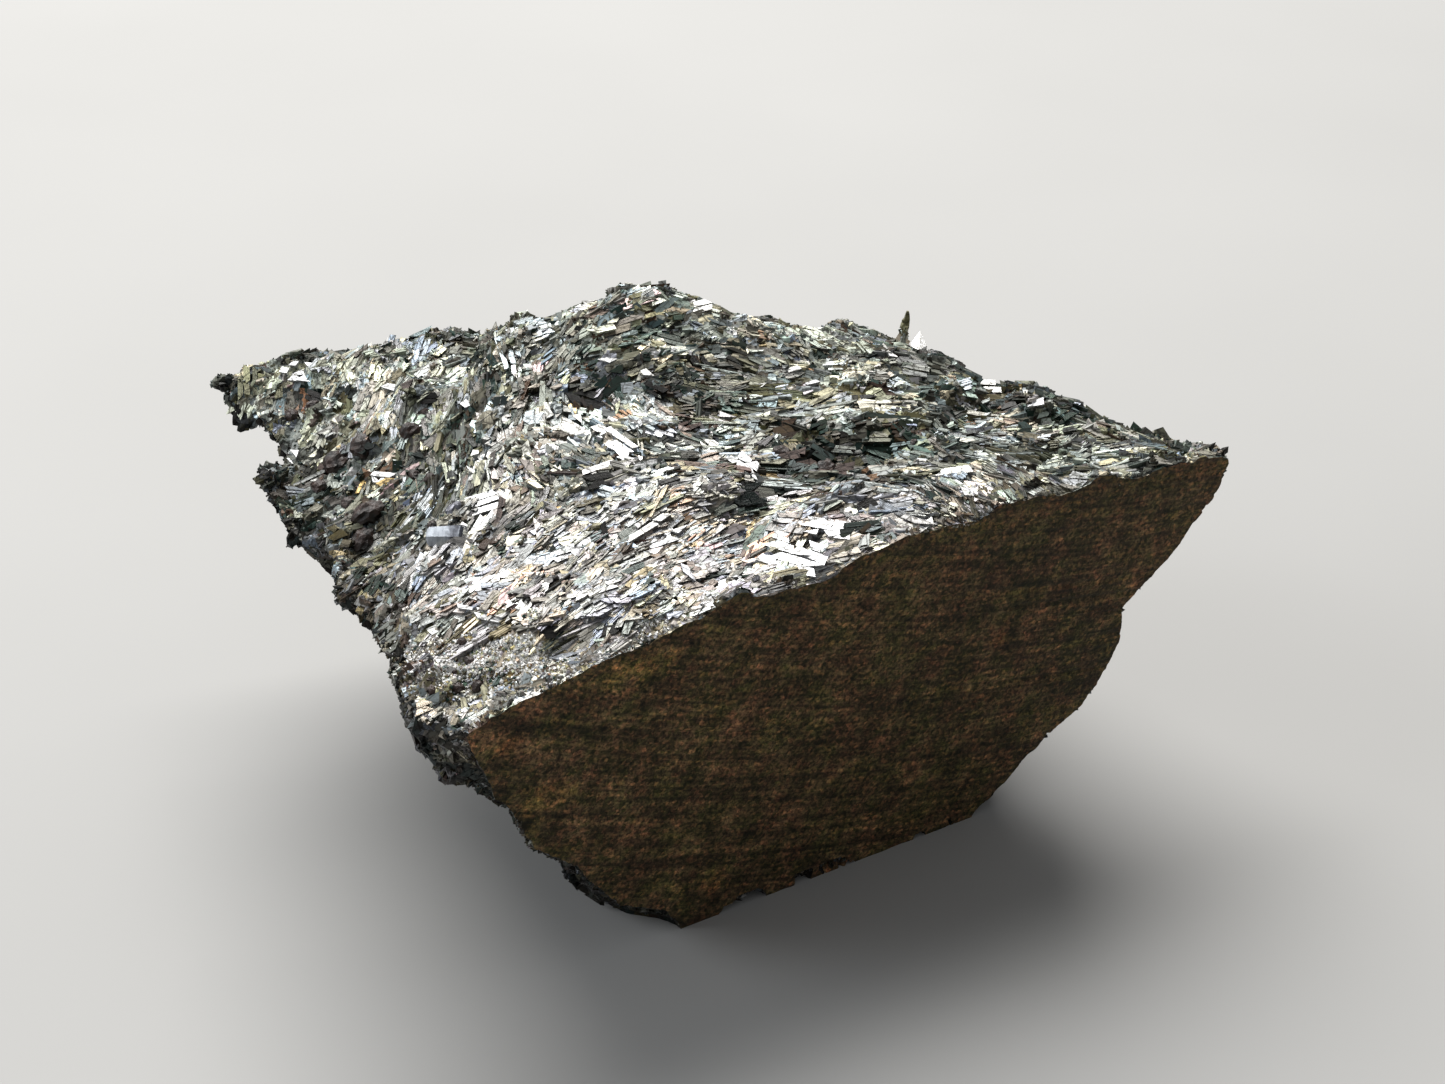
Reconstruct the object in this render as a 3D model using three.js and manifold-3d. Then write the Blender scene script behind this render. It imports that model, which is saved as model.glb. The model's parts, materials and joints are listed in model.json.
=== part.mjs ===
// Raw nuummite: one broken lump of bladed anthophyllite-gedrite rock.
//
// The stone is wide at the top and narrow at the foot. Its front is one flat saw cut that leans out over
// the foot. Every other side is a fresh break: a top that climbs from the saw cut to a crest, a lower wing
// on the left behind a step, and undercut flanks. Lath-shaped crystals stand out of every broken side.
//
// Units are millimetres, +Z is up, the saw cut faces -Y and +X, and the foot lies on Z = 0.
import * as THREE from 'three';
import { ImprovedNoise } from 'three/addons/math/ImprovedNoise.js';
import { mergeVertices } from 'three/addons/utils/BufferGeometryUtils.js';
import Module from 'manifold-3d';

const wasm = await Module();
wasm.setup();

// ---------------------------------------------------------------- driving dimensions

// The saw cut: the plane through the front edge of the foot, leaning out by SAW_LEAN degrees.
const SAW_FOOT_LEFT = [-1.3, -14.6];
const SAW_FOOT_RIGHT = [9.9, -7.5];
const SAW_LEAN = 10;

// The flanks, walked anticlockwise from the left end of the saw cut. Each row is one upright section:
// its foot, two stages on the way up, and the rim where the flank meets the top.
const STAGE_LOW = 4;
const FLANKS = [
  // foot x, y      low x, y        high x, y, z          rim x, y, z
  [[-1.3, -14.6], [-4.4, -17.3], [-7.9, -20.9, 10.0], [-8.4, -22.1, 14.0]],
  [[9.9, -7.5], [13.4, -6.2], [16.5, -5.5, 10.0], [19.1, -4.6, 14.3]],
  [[9.4, -3.4], [11.6, -2.0], [13.8, -1.2, 10.0], [15.6, -1.4, 14.1]],
  [[8.2, 0.0], [9.8, 1.4], [11.4, 1.8, 9.7], [12.0, -0.2, 14.5]],
  [[6.3, 2.9], [7.8, 4.6], [9.2, 4.6, 9.5], [9.4, 2.0, 14.6]],
  [[3.5, 5.0], [4.2, 7.2], [5.2, 8.2, 9.0], [5.0, 7.0, 13.2]],
  [[-0.5, 6.2], [-1.0, 8.6], [-1.4, 9.8, 9.0], [-2.0, 9.2, 13.2]],
  [[-3.5, 5.6], [-5.6, 8.0], [-7.2, 9.2, 9.0], [-7.8, 8.4, 13.0]],
  [[-5.5, 4.2], [-8.4, 6.4], [-11.0, 7.7, 9.5], [-12.2, 6.8, 13.5]],
  [[-7.0, 2.5], [-10.2, 4.8], [-14.2, 6.2, 9.5], [-16.8, 6.5, 13.2]],
  [[-7.0, 0.0], [-11.0, 1.6], [-16.6, 3.2, 9.8], [-20.5, 4.6, 12.4]],
  [[-7.3, -1.6], [-11.0, -0.6], [-15.6, 0.6, 9.6], [-17.6, 0.8, 12.3]],
  [[-7.4, -3.2], [-10.8, -2.6], [-15.6, -1.8, 9.6], [-18.5, -1.5, 12.1]],
  [[-7.5, -4.6], [-10.3, -4.2], [-14.8, -4.2, 9.6], [-17.2, -4.7, 12.3]],
  [[-6.8, -8.0], [-9.0, -8.2], [-12.8, -8.7, 9.6], [-14.6, -9.1, 12.6]],
  [[-5.6, -10.6], [-7.8, -11.6], [-11.0, -13.0, 9.8], [-12.6, -13.8, 13.0]],
  [[-4.4, -12.0], [-6.8, -13.8], [-9.9, -17.2, 10.0], [-10.9, -18.7, 13.5]],
  [[-3.0, -13.2], [-5.8, -15.6], [-9.7, -19.4, 10.3], [-10.2, -20.4, 13.7]],
];
// How many rows of facets each stretch of a section has, from below the foot to above the rim.
const SECTION_ROWS = [1, 3, 4, 3, 2, 1];
const FLANK_PITCH = 1.5;
const FLANK_SPLINTERS = 1.1;
const FLANK_SWELL = 0.9;

// The broken top: points [x, y, z] of its relief, with the step of the left wing left out.
const TOP_FRONT = [[-4.9, -20.0, 14.6], [-1.1, -17.7, 15.4], [2.7, -15.2, 14.9], [4.3, -14.3, 15.5],
  [8.5, -11.7, 15.9], [12.4, -9.1, 15.4], [15.9, -6.8, 14.8]];
const TOP_BENCH = [[-6.7, -3.2, 16.0], [-3.1, -3.8, 16.4], [-0.1, -2.5, 16.3], [3.0, -1.2, 16.2],
  [6.0, -0.7, 15.8], [-4.4, -8.5, 15.9], [-0.8, -9.2, 15.9], [3.6, -6.8, 15.8], [6.6, -5.0, 15.7],
  [10.3, -5.8, 15.3], [-5.6, -13.7, 15.2], [-0.8, -14.2, 15.5], [3.4, -11.8, 15.7], [14.1, -4.7, 14.8]];
const TOP_CREST = [[-8.3, 3.0, 15.9], [-6.2, 2.2, 16.8], [-4.8, 1.7, 17.5], [-2.6, 1.4, 18.0],
  [-0.5, 1.4, 17.6], [2.5, 1.8, 16.7], [5.5, 2.2, 16.1], [7.8, 2.2, 15.8], [9.9, 0.6, 14.9]];
const TOP_BACK = [[-7.6, 5.2, 14.6], [-4.6, 4.6, 15.7], [-1.8, 4.6, 15.8], [1.4, 4.6, 15.1], [4.6, 4.4, 14.5],
  [7.4, 3.6, 14.6]];
const TOP_WING = [[-10.6, -4.5, 15.2], [-12.5, -0.6, 15.1], [-14.8, 2.5, 14.4], [-16.1, -3.2, 12.7],
  [-13.4, -6.9, 13.4], [-11.7, -13.4, 13.5], [-8.3, -15.6, 14.7], [-11.0, 4.4, 14.8]];
const TOP_SWELL = 0.3;
const TOP_PITCH = 1.05;
const PITCH_JITTER = 0.55;

// The step down to the left wing: its line from back to front, its height, and how wide the riser is.
const STEP = {
  back: new THREE.Vector2(-9.3, 3.4),
  front: new THREE.Vector2(-10.0, -11.4),
  height: 1.5,
  riser: 1.1,
  reach: 5,
};

// The ledge along the left half of the saw cut, below a low riser.
const LEDGE = {
  left: new THREE.Vector2(-8.6, -17.6),
  right: new THREE.Vector2(-0.6, -17.0),
  height: 0.75,
  riser: 0.45,
};

// Hollows of the top: centre x and y, half length along x and along y, depth.
const HOLLOWS = [
  [-13.0, -7.0, 1.1, 1.5, 1.1],
  [-15.1, -1.8, 1.5, 1.3, 1.0],
  [-11.6, -3.0, 0.9, 1.2, 0.8],
  [5.3, -6.8, 2.2, 1.5, 0.9],
  [-1.0, -0.9, 2.0, 0.9, 0.6],
  [-6.6, -0.6, 1.3, 1.4, 0.7],
];

// The foot rests on flat pads, with shallow hollows between them.
const FOOT_HOLLOW = 0.6;
const FOOT_PADS = 0.08;
const FOOT_PITCH = 1.6;

// Shards: the long flat splinters that the break leaves all over, and the direction that they run in.
const SHARD_LENGTH = 4.2;
const SHARD_WIDTH = 1.7;
const SHARD_TILT = 0.36;
const SHARD_ANGLE = 0.6;

// Crystals: lath-shaped and splinter-shaped blades, more than half sunk in the rock.
const CRYSTAL_COUNT = 228;
const CRYSTAL_LENGTH = [1.5, 4.4];
const CRYSTAL_WIDTH = [0.5, 1.1];
const CRYSTAL_SUNK = 0.56;
const CRYSTAL_SPREAD = 0.7;
const LATH_SHARE = 0.45;

// The way the crystals lie: they fan out across the top. Each row is x, y and the angle from +X in degrees.
const GRAIN = [[-8, -16, 42], [-3, -13, 33], [-6, -5, -36], [0.5, -9, 5], [2, -13, 30], [3, -4, 10],
  [7, -7, 0], [9.5, -9.5, -50], [15, -6, 16], [3, 1, -20], [-4, 0, 30], [-9.5, -4, 84], [-13, 2, 70],
  [-14, -5, 25], [-11, -13, 60]];

// Two crystals that stand out: a stubby barrel beside the step, and a spike on the crest.
const BARREL = { at: [-10.1, -10.2, 14.0], length: 1.5, radius: 0.42, turn: 0.1 };
const SPIKE = { at: [7.2, 2.7, 16.1], height: 1.5, radius: 0.28, lean: 0.12 };

// Chips knocked off the edges of the saw cut: x, y, z and radius.
const CHIPS = [
  [1.4, -12.9, -0.4, 0.8], [4.6, -10.9, -0.5, 0.75], [7.6, -9.0, -0.4, 0.7], [10.8, -6.8, 0.1, 0.9],
  [14.4, -5.8, 4.3, 0.6], [15.9, -5.4, 7.3, 0.75], [17.8, -5.0, 10.9, 0.6], [19.2, -4.4, 13.2, 0.4],
  [-6.6, -18.9, 5.0, 0.7], [-8.4, -21.2, 9.3, 0.6], [-3.6, -16.6, 0.8, 0.7],
  [5.2, -13.9, 16.0, 0.5], [-2.6, -18.7, 15.7, 0.5], [-6.6, -21.1, 14.8, 0.45],
];

// The finest detail that is kept.
const FINEST = 0.02;

// Working room: the stone's middle, how far the raw shapes run past it, and the size of a cutting block.
const MIDDLE = new THREE.Vector2(-0.5, -6);
const ROOM = new THREE.Vector2(48, 42);
const BELOW_FOOT = 2;
const ABOVE_TOP = 26;
const PAST_SAW = 2.2;
const CUTTING_BLOCK = 80;

// ---------------------------------------------------------------- small helpers

const UP = new THREE.Vector3(0, 0, 1);
const noise = new ImprovedNoise();
const smooth = (x) => THREE.MathUtils.smoothstep(x, 0, 1);

// A stream of random numbers from 0 to 1, the same on every run.
function makeRandom(seed) {
  let state = seed;
  return () => {
    state = (state + 0x6d2b79f5) | 0;
    let mixed = Math.imul(state ^ (state >>> 15), 1 | state);
    mixed = (mixed + Math.imul(mixed ^ (mixed >>> 7), 61 | mixed)) ^ mixed;
    return ((mixed ^ (mixed >>> 14)) >>> 0) / 2 ** 32;
  };
}

// A random number from -0.5 to 0.5 that belongs to one cell of a grid.
function cellRandom(i, j, salt) {
  return makeRandom((i * 73856093) ^ (j * 19349663) ^ (salt * 83492791))() - 0.5;
}

// A closed geometry as a solid that can be joined and cut.
function solidFrom(geometry) {
  const bare = geometry.clone();
  bare.deleteAttribute('normal');
  bare.deleteAttribute('uv');
  const merged = mergeVertices(bare, 1e-4);
  return new wasm.Manifold(new wasm.Mesh({
    numProp: 3,
    vertProperties: merged.attributes.position.array,
    triVerts: new Uint32Array(merged.index.array),
  }));
}

function geometryFrom(solid) {
  const mesh = solid.getMesh();
  const geometry = new THREE.BufferGeometry();
  geometry.setAttribute('position', new THREE.BufferAttribute(mesh.vertProperties, 3));
  geometry.setIndex(new THREE.BufferAttribute(mesh.triVerts, 1));
  return geometry;
}

function geometryOf(corners, index) {
  const geometry = new THREE.BufferGeometry();
  geometry.setAttribute('position', new THREE.Float32BufferAttribute(corners.flat(), 3));
  geometry.setIndex(index);
  return geometry;
}

// A block whose near face lies on a plane and which reaches out along the plane's normal.
function blockBeyond(point, normal) {
  const block = new THREE.BoxGeometry(CUTTING_BLOCK, CUTTING_BLOCK, CUTTING_BLOCK);
  block.translate(0, 0, CUTTING_BLOCK / 2);
  block.applyQuaternion(new THREE.Quaternion().setFromUnitVectors(UP, normal));
  return solidFrom(block.translate(point.x, point.y, point.z));
}

// A block with a faceted upper face at heightAt(x, y) and a flat bottom. Its facets are about one pitch wide.
function reliefBlock(pitch, bottom, heightAt) {
  const columns = Math.round(ROOM.x / pitch);
  const rows = Math.round(ROOM.y / pitch);
  const block = new THREE.BoxGeometry(ROOM.x, ROOM.y, 2, columns, rows, 1);
  const position = block.attributes.position;
  for (let i = 0; i < position.count; i++) {
    let x = position.getX(i);
    let y = position.getY(i);
    const isInside = Math.abs(x) < ROOM.x / 2 - pitch / 2 && Math.abs(y) < ROOM.y / 2 - pitch / 2;
    const isUpper = position.getZ(i) > 0;
    if (isInside && isUpper) {
      const column = Math.round(x / pitch);
      const row = Math.round(y / pitch);
      x += cellRandom(column, row, 6) * PITCH_JITTER * pitch;
      y += cellRandom(column, row, 7) * PITCH_JITTER * pitch;
    }
    x += MIDDLE.x;
    y += MIDDLE.y;
    position.setXYZ(i, x, y, isUpper ? heightAt(x, y) : bottom);
  }
  return solidFrom(block);
}

// ---------------------------------------------------------------- the saw cut

const sawPoint = new THREE.Vector3(...SAW_FOOT_LEFT, 0);
const sawNormal = makeSawNormal();

function makeSawNormal() {
  const along = new THREE.Vector3(...SAW_FOOT_RIGHT, 0).sub(sawPoint).normalize();
  const level = new THREE.Vector3().crossVectors(along, UP);
  const lean = THREE.MathUtils.degToRad(SAW_LEAN);
  return level.multiplyScalar(Math.cos(lean)).addScaledVector(UP, -Math.sin(lean));
}

// ---------------------------------------------------------------- relief of the top

// Solves a set of linear equations, one row each, with the right-hand side in the last column.
function solve(rows) {
  const size = rows.length;
  for (let column = 0; column < size; column++) {
    let best = column;
    for (let r = column + 1; r < size; r++) {
      best = Math.abs(rows[r][column]) > Math.abs(rows[best][column]) ? r : best;
    }
    [rows[column], rows[best]] = [rows[best], rows[column]];
    for (const row of rows) {
      const share = row === rows[column] ? 0 : row[column] / rows[column][column];
      for (let c = column; c <= size; c++) {
        row[c] -= share * rows[column][c];
      }
    }
  }
  return rows.map((row, i) => row[size] / row[i]);
}

// A thin-plate surface: the shape that a springy sheet takes when it is held at points [x, y, z].
function thinPlate(points) {
  const bend = (dx, dy) => {
    const squared = dx * dx + dy * dy;
    return squared > 0 ? squared * Math.log(squared) : 0;
  };
  const rows = points.map(([x, y, z]) => [...points.map(([px, py]) => bend(x - px, y - py)), 1, x, y, z]);
  for (const pick of [() => 1, (p) => p[0], (p) => p[1]]) {
    rows.push([...points.map(pick), 0, 0, 0, 0]);
  }
  const weights = solve(rows);
  const [level, slopeX, slopeY] = weights.slice(points.length);
  return (x, y) => points.reduce(
    (sum, [px, py], i) => sum + weights[i] * bend(x - px, y - py),
    level + slopeX * x + slopeY * y,
  );
}

const rimPoints = FLANKS.map(([, , , rim]) => rim);
const sheet = thinPlate([...rimPoints, ...TOP_FRONT, ...TOP_BENCH, ...TOP_CREST, ...TOP_BACK, ...TOP_WING]);

// Where a point lies by a line: the share of the way along it, and the distance to its left.
function placeBy(start, end, x, y) {
  const along = end.clone().sub(start);
  const dx = x - start.x;
  const dy = y - start.y;
  return {
    share: (dx * along.x + dy * along.y) / along.lengthSq(),
    left: (along.x * dy - along.y * dx) / along.length(),
  };
}

// The wing lies lower beyond the step, and rises back to the sheet's own level further out.
function wingDrop(x, y) {
  const { share, left } = placeBy(STEP.back, STEP.front, x, y);
  const ends = smooth(share * 4 + 0.6) * smooth((1.1 - share) * 2.2);
  const riser = 1 - smooth(left / STEP.riser + 0.5);
  const reach = smooth(2 + (left + 0.5) / STEP.reach);
  return STEP.height * ends * riser * reach;
}

function ledgeDrop(x, y) {
  const { share, left } = placeBy(LEDGE.left, LEDGE.right, x, y);
  const ends = smooth(share * 6 + 1) * smooth((1 - share) * 3);
  return LEDGE.height * ends * smooth(-left / LEDGE.riser);
}

function hollowDepth(x, y) {
  return HOLLOWS.reduce((sum, [cx, cy, halfX, halfY, depth]) => {
    const away = Math.hypot((x - cx) / halfX, (y - cy) / halfY);
    return sum + depth * (1 - smooth(away - 0.25));
  }, 0);
}

// Each splinter is one tilted plane. They meet in small steps along jittered, stretched cells.
function shardRelief(x, y) {
  const u = (x * Math.cos(SHARD_ANGLE) + y * Math.sin(SHARD_ANGLE)) / SHARD_LENGTH;
  const v = (-x * Math.sin(SHARD_ANGLE) + y * Math.cos(SHARD_ANGLE)) / SHARD_WIDTH;
  let nearest = Infinity;
  let height = 0;
  for (let i = Math.floor(u) - 1; i <= Math.floor(u) + 1; i++) {
    for (let j = Math.floor(v) - 1; j <= Math.floor(v) + 1; j++) {
      const du = u - i - cellRandom(i, j, 1) - 0.5;
      const dv = v - j - cellRandom(i, j, 2) - 0.5;
      const away = du * du + dv * dv;
      if (away < nearest) {
        nearest = away;
        height = du * SHARD_LENGTH * cellRandom(i, j, 3);
        height += 2.6 * dv * SHARD_WIDTH * cellRandom(i, j, 4);
        height += 1.6 * cellRandom(i, j, 5);
      }
    }
  }
  return SHARD_TILT * height;
}

function topHeight(x, y) {
  const swell = TOP_SWELL * noise.noise(x * 0.45, y * 0.45, 5.1);
  return sheet(x, y) - wingDrop(x, y) - ledgeDrop(x, y) - hollowDepth(x, y) + shardRelief(x, y) + swell;
}

// The foot's relief: above zero where it is hollow.
function footHeight(x, y) {
  return FOOT_HOLLOW * noise.noise(x * 0.28, y * 0.28, 1.7) - FOOT_PADS;
}

// ---------------------------------------------------------------- flanks

// One upright section as a column of points, from below the foot to above the rim.
function sectionColumn([foot, low, high, rim]) {
  const rimPoint = new THREE.Vector3(...rim);
  const rise = rimPoint.clone().sub(new THREE.Vector3(...high)).normalize();
  const over = rimPoint.clone().addScaledVector(rise, 3);
  const stops = [
    new THREE.Vector3(...foot, -BELOW_FOOT),
    new THREE.Vector3(...foot, 0),
    new THREE.Vector3(...low, STAGE_LOW),
    new THREE.Vector3(...high),
    rimPoint,
    over,
    over.clone().setZ(ABOVE_TOP),
  ];
  const column = SECTION_ROWS.flatMap((rows, i) => Array.from(
    { length: rows },
    (_, k) => stops[i].clone().lerp(stops[i + 1], k / rows),
  ));
  return [...column, stops.at(-1)];
}

// All columns of facet corners around the stone. The two ends of the saw cut are repeated in front of its
// plane, so that the cut goes through solid rock.
function flankColumns() {
  const columns = FLANKS.map(sectionColumn);
  const pushed = columns.slice(0, 2).map(
    (column) => column.map((p) => p.clone().addScaledVector(sawNormal, PAST_SAW)),
  );
  const around = [columns[0], ...pushed, ...columns.slice(1)];
  return around.flatMap((column, i) => {
    const next = around[(i + 1) % around.length];
    const middle = Math.floor(column.length * 0.6);
    const gap = column[middle].distanceTo(next[middle]);
    const isCutAway = i === 1;
    const steps = isCutAway ? 1 : Math.max(1, Math.round(gap / FLANK_PITCH));
    return Array.from(
      { length: steps },
      (_, k) => column.map((p, level) => p.clone().lerp(next[level], k / steps)),
    );
  });
}

// How far the flank stands out at a point: flat splinters that stand up it, over a slow swell.
function flankRelief(p) {
  const around = Math.atan2(p.y - MIDDLE.y, p.x) * 13;
  const splinters = shardRelief(around + 40, p.z * 1.1);
  const swell = noise.noise(p.x * 0.22, p.y * 0.22, p.z * 0.22 + 9.4);
  return FLANK_SPLINTERS * splinters + FLANK_SWELL * swell;
}

function insideFlanks() {
  const columns = flankColumns();
  const count = columns.length;
  const levels = columns[0].length;
  const corners = columns.flatMap((column, i) => {
    const before = columns.at(i - 1);
    const after = columns[(i + 1) % count];
    return column.map((p, level) => {
      const along = after[level].clone().sub(before[level]).setZ(0).normalize();
      const outward = new THREE.Vector3(along.y, -along.x, 0);
      return p.clone().addScaledVector(outward, flankRelief(p)).toArray();
    });
  });
  const bottom = corners.push([0, -4, -BELOW_FOOT]) - 1;
  const top = corners.push([0, -4, ABOVE_TOP]) - 1;
  const index = [];
  const at = (i, level) => (i % count) * levels + level;
  for (let i = 0; i < count; i++) {
    for (let level = 0; level + 1 < levels; level++) {
      index.push(at(i, level), at(i + 1, level), at(i + 1, level + 1));
      index.push(at(i, level), at(i + 1, level + 1), at(i, level + 1));
    }
    index.push(bottom, at(i + 1, 0), at(i, 0));
    index.push(top, at(i, levels - 1), at(i + 1, levels - 1));
  }
  return solidFrom(geometryOf(corners, index));
}

// ---------------------------------------------------------------- crystals

// A lath along +X: a flat upper face, sloping sides and chisel ends.
function lath(length, width, thickness, skew) {
  const bevel = 0.28 * width;
  const end = 0.16 * length;
  const corners = [];
  for (const side of [-1, 1]) {
    for (const across of [-1, 1]) {
      corners.push([side * length / 2 + skew * across, across * width / 2, -thickness / 2]);
      corners.push([side * (length / 2 - end) + skew * across, across * (width / 2 - bevel), thickness / 2]);
    }
  }
  return geometryOf(corners, [
    0, 2, 6, 0, 6, 4, 1, 5, 7, 1, 7, 3, 0, 4, 5, 0, 5, 1,
    2, 3, 7, 2, 7, 6, 0, 1, 3, 0, 3, 2, 4, 6, 7, 4, 7, 5,
  ]);
}

// A splinter along +X: two long faces that meet in a ridge, and sharp ends.
function splinter(length, width, thickness, skew) {
  const end = 0.2 * length;
  const corners = [
    [-length / 2, -width / 2, -thickness / 2],
    [length / 2 + skew, -width / 2, -thickness / 2],
    [length / 2, width / 2, -thickness / 2],
    [-length / 2 + skew, width / 2, -thickness / 2],
    [-length / 2 + end, skew * width, thickness / 2],
    [length / 2 - end, skew * width, thickness / 2],
  ];
  return geometryOf(corners, [0, 2, 1, 0, 3, 2, 0, 1, 5, 0, 5, 4, 2, 3, 4, 2, 4, 5, 1, 2, 5, 3, 0, 4]);
}

// The direction of the crystals at a point. A direction and its opposite are the same, so angles are
// doubled before they are averaged.
function grainAngle(x, y) {
  let [sumX, sumY] = [0, 0];
  for (const [px, py, degrees] of GRAIN) {
    const weight = 1 / ((x - px) ** 2 + (y - py) ** 2 + 0.5) ** 1.5;
    const doubled = 2 * THREE.MathUtils.degToRad(degrees);
    sumX += weight * Math.cos(doubled);
    sumY += weight * Math.sin(doubled);
  }
  return Math.atan2(sumY, sumX) / 2;
}

// The broken faces of a solid, each with its normal and the running total of their areas.
function brokenFaces(solid) {
  const position = geometryFrom(solid).toNonIndexed().attributes.position;
  const faces = [];
  let total = 0;
  for (let i = 0; i < position.count; i += 3) {
    const triangle = new THREE.Triangle().setFromAttributeAndIndices(position, i, i + 1, i + 2);
    const middle = triangle.getMidpoint(new THREE.Vector3());
    const isSawn = Math.abs(middle.clone().sub(sawPoint).dot(sawNormal)) < 0.01;
    const isFoot = middle.z < 0.6;
    if (!isSawn && !isFoot) {
      const normal = triangle.getNormal(new THREE.Vector3());
      const crowding = normal.z > 0.2 ? 1.5 : 1;
      total += triangle.getArea() * crowding;
      faces.push({ triangle, normal, total });
    }
  }
  return faces;
}

// A random place on the given faces.
function randomPlace(faces, random) {
  const target = random() * faces.at(-1).total;
  const { triangle, normal } = faces.find((face) => face.total >= target);
  const root = Math.sqrt(random());
  const share = random() * root;
  const point = triangle.a.clone().multiplyScalar(1 - root)
    .addScaledVector(triangle.b, root - share)
    .addScaledVector(triangle.c, share);
  return { point, normal };
}

// The direction of a crystal on a face: along the grain on the top, and along and up the flanks.
function crystalRun(point, normal, turn) {
  const grain = grainAngle(point.x, point.y) + turn;
  const run = new THREE.Vector3(Math.cos(grain), Math.sin(grain), 0);
  const isSteep = Math.abs(normal.z) < 0.6;
  if (isSteep) {
    run.set(-normal.y * Math.cos(grain), normal.x * Math.cos(grain), Math.sin(grain));
  }
  return run.addScaledVector(normal, -run.dot(normal)).normalize();
}

// A crystal lies a few degrees off the face, so that one end or edge stands out.
function crystal(faces, random) {
  const { point, normal } = randomPlace(faces, random);
  const run = crystalRun(point, normal, (random() - 0.5) * CRYSTAL_SPREAD);
  const side = new THREE.Vector3().crossVectors(normal, run);
  const size = random() ** 1.6;
  const length = THREE.MathUtils.lerp(...CRYSTAL_LENGTH, size);
  const width = THREE.MathUtils.lerp(...CRYSTAL_WIDTH, 0.6 * random() + 0.4 * size);
  const shape = random() < LATH_SHARE ? lath : splinter;
  const blade = shape(length, width, 0.75 * width, (random() - 0.5) * 0.4);
  blade.rotateX((random() - 0.5) * 0.8);
  blade.rotateY((random() - 0.5) * 0.24);
  blade.applyMatrix4(new THREE.Matrix4().makeBasis(run, side, normal));
  const seat = point.addScaledVector(normal, (random() - 0.45) * 0.22 * width);
  return solidFrom(blade.translate(seat.x, seat.y, seat.z));
}

// Crystals all over the broken faces of the rock, without those that would stand out too far.
function crystals(rock) {
  const random = makeRandom(20731);
  const faces = brokenFaces(rock);
  return Array.from({ length: CRYSTAL_COUNT }, () => crystal(faces, random))
    .filter((blade) => blade.intersect(rock).volume() > CRYSTAL_SUNK * blade.volume());
}

function barrel() {
  const { at, length, radius, turn } = BARREL;
  const body = new THREE.CylinderGeometry(radius, radius, length, 6);
  return solidFrom(body.rotateZ(Math.PI / 2 + turn).translate(...at));
}

function spike() {
  const { at, height, radius, lean } = SPIKE;
  const body = new THREE.CylinderGeometry(0.55 * radius, radius, height, 5);
  return solidFrom(body.rotateX(Math.PI / 2).rotateY(lean).translate(...at));
}

function chips() {
  return CHIPS.map(([x, y, z, radius], i) => {
    const chip = new THREE.IcosahedronGeometry(radius).scale(1.4, 0.8, 1);
    return solidFrom(chip.rotateZ(i * 1.3).rotateY(i * 0.7).translate(x, y, z));
  });
}

// ---------------------------------------------------------------- the stone

// The largest body of a solid. Crumbs and sealed pockets are left behind.
function largestBody(solid) {
  return solid.decompose().reduce((best, body) => (body.volume() > best.volume() ? body : best));
}

function makeStone() {
  const underTop = reliefBlock(TOP_PITCH, -BELOW_FOOT - 1, topHeight);
  const beyondSaw = blockBeyond(sawPoint, sawNormal);
  const belowFoot = blockBeyond(new THREE.Vector3(), UP.clone().negate());
  const trim = (solid) => solid.subtract(beyondSaw).subtract(belowFoot);

  const rock = insideFlanks().intersect(underTop);
  const added = [...crystals(trim(rock)), barrel(), spike()];
  const removed = [...chips(), reliefBlock(FOOT_PITCH, -BELOW_FOOT - 1, footHeight)];
  const whole = added.reduce((solid, piece) => solid.add(piece), rock);
  const worn = removed.reduce((solid, piece) => solid.subtract(piece), trim(whole));
  return geometryFrom(largestBody(worn.simplify(FINEST)));
}

// The origin is at the middle of the stone's bounding box, on the foot.
const geometry = makeStone();
geometry.computeBoundingBox();
const centre = geometry.boundingBox.getCenter(new THREE.Vector3());
geometry.translate(-centre.x, -centre.y, 0);

const nuummite = new THREE.MeshStandardMaterial({
  color: 0x55564f,
  roughness: 0.45,
  metalness: 0.1,
  flatShading: true,
});
const stone = new THREE.Mesh(geometry, nuummite);
stone.name = 'nuummite';

const part = new THREE.Group();
part.add(stone);

export default part;
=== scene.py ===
"""Looks of the raw nuummite: a broken lump of bladed rock with one saw-cut face.

The body is a fine remesh of the CAD solid, roughened into splinters and cut by a grooved saw plane. Crystals
are rows of flat laths, broken across and seated in its surface. They and the grains are joined meshes.
Shapes are worked out in millimetres and turned to metres when a mesh is made.
"""

import json
import math
from collections import namedtuple

import bmesh
import bpy
import numpy as np
from mathutils import Matrix, Vector
from mathutils import noise as solid_noise
from mathutils.bvhtree import BVHTree
from mathutils.kdtree import KDTree


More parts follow.
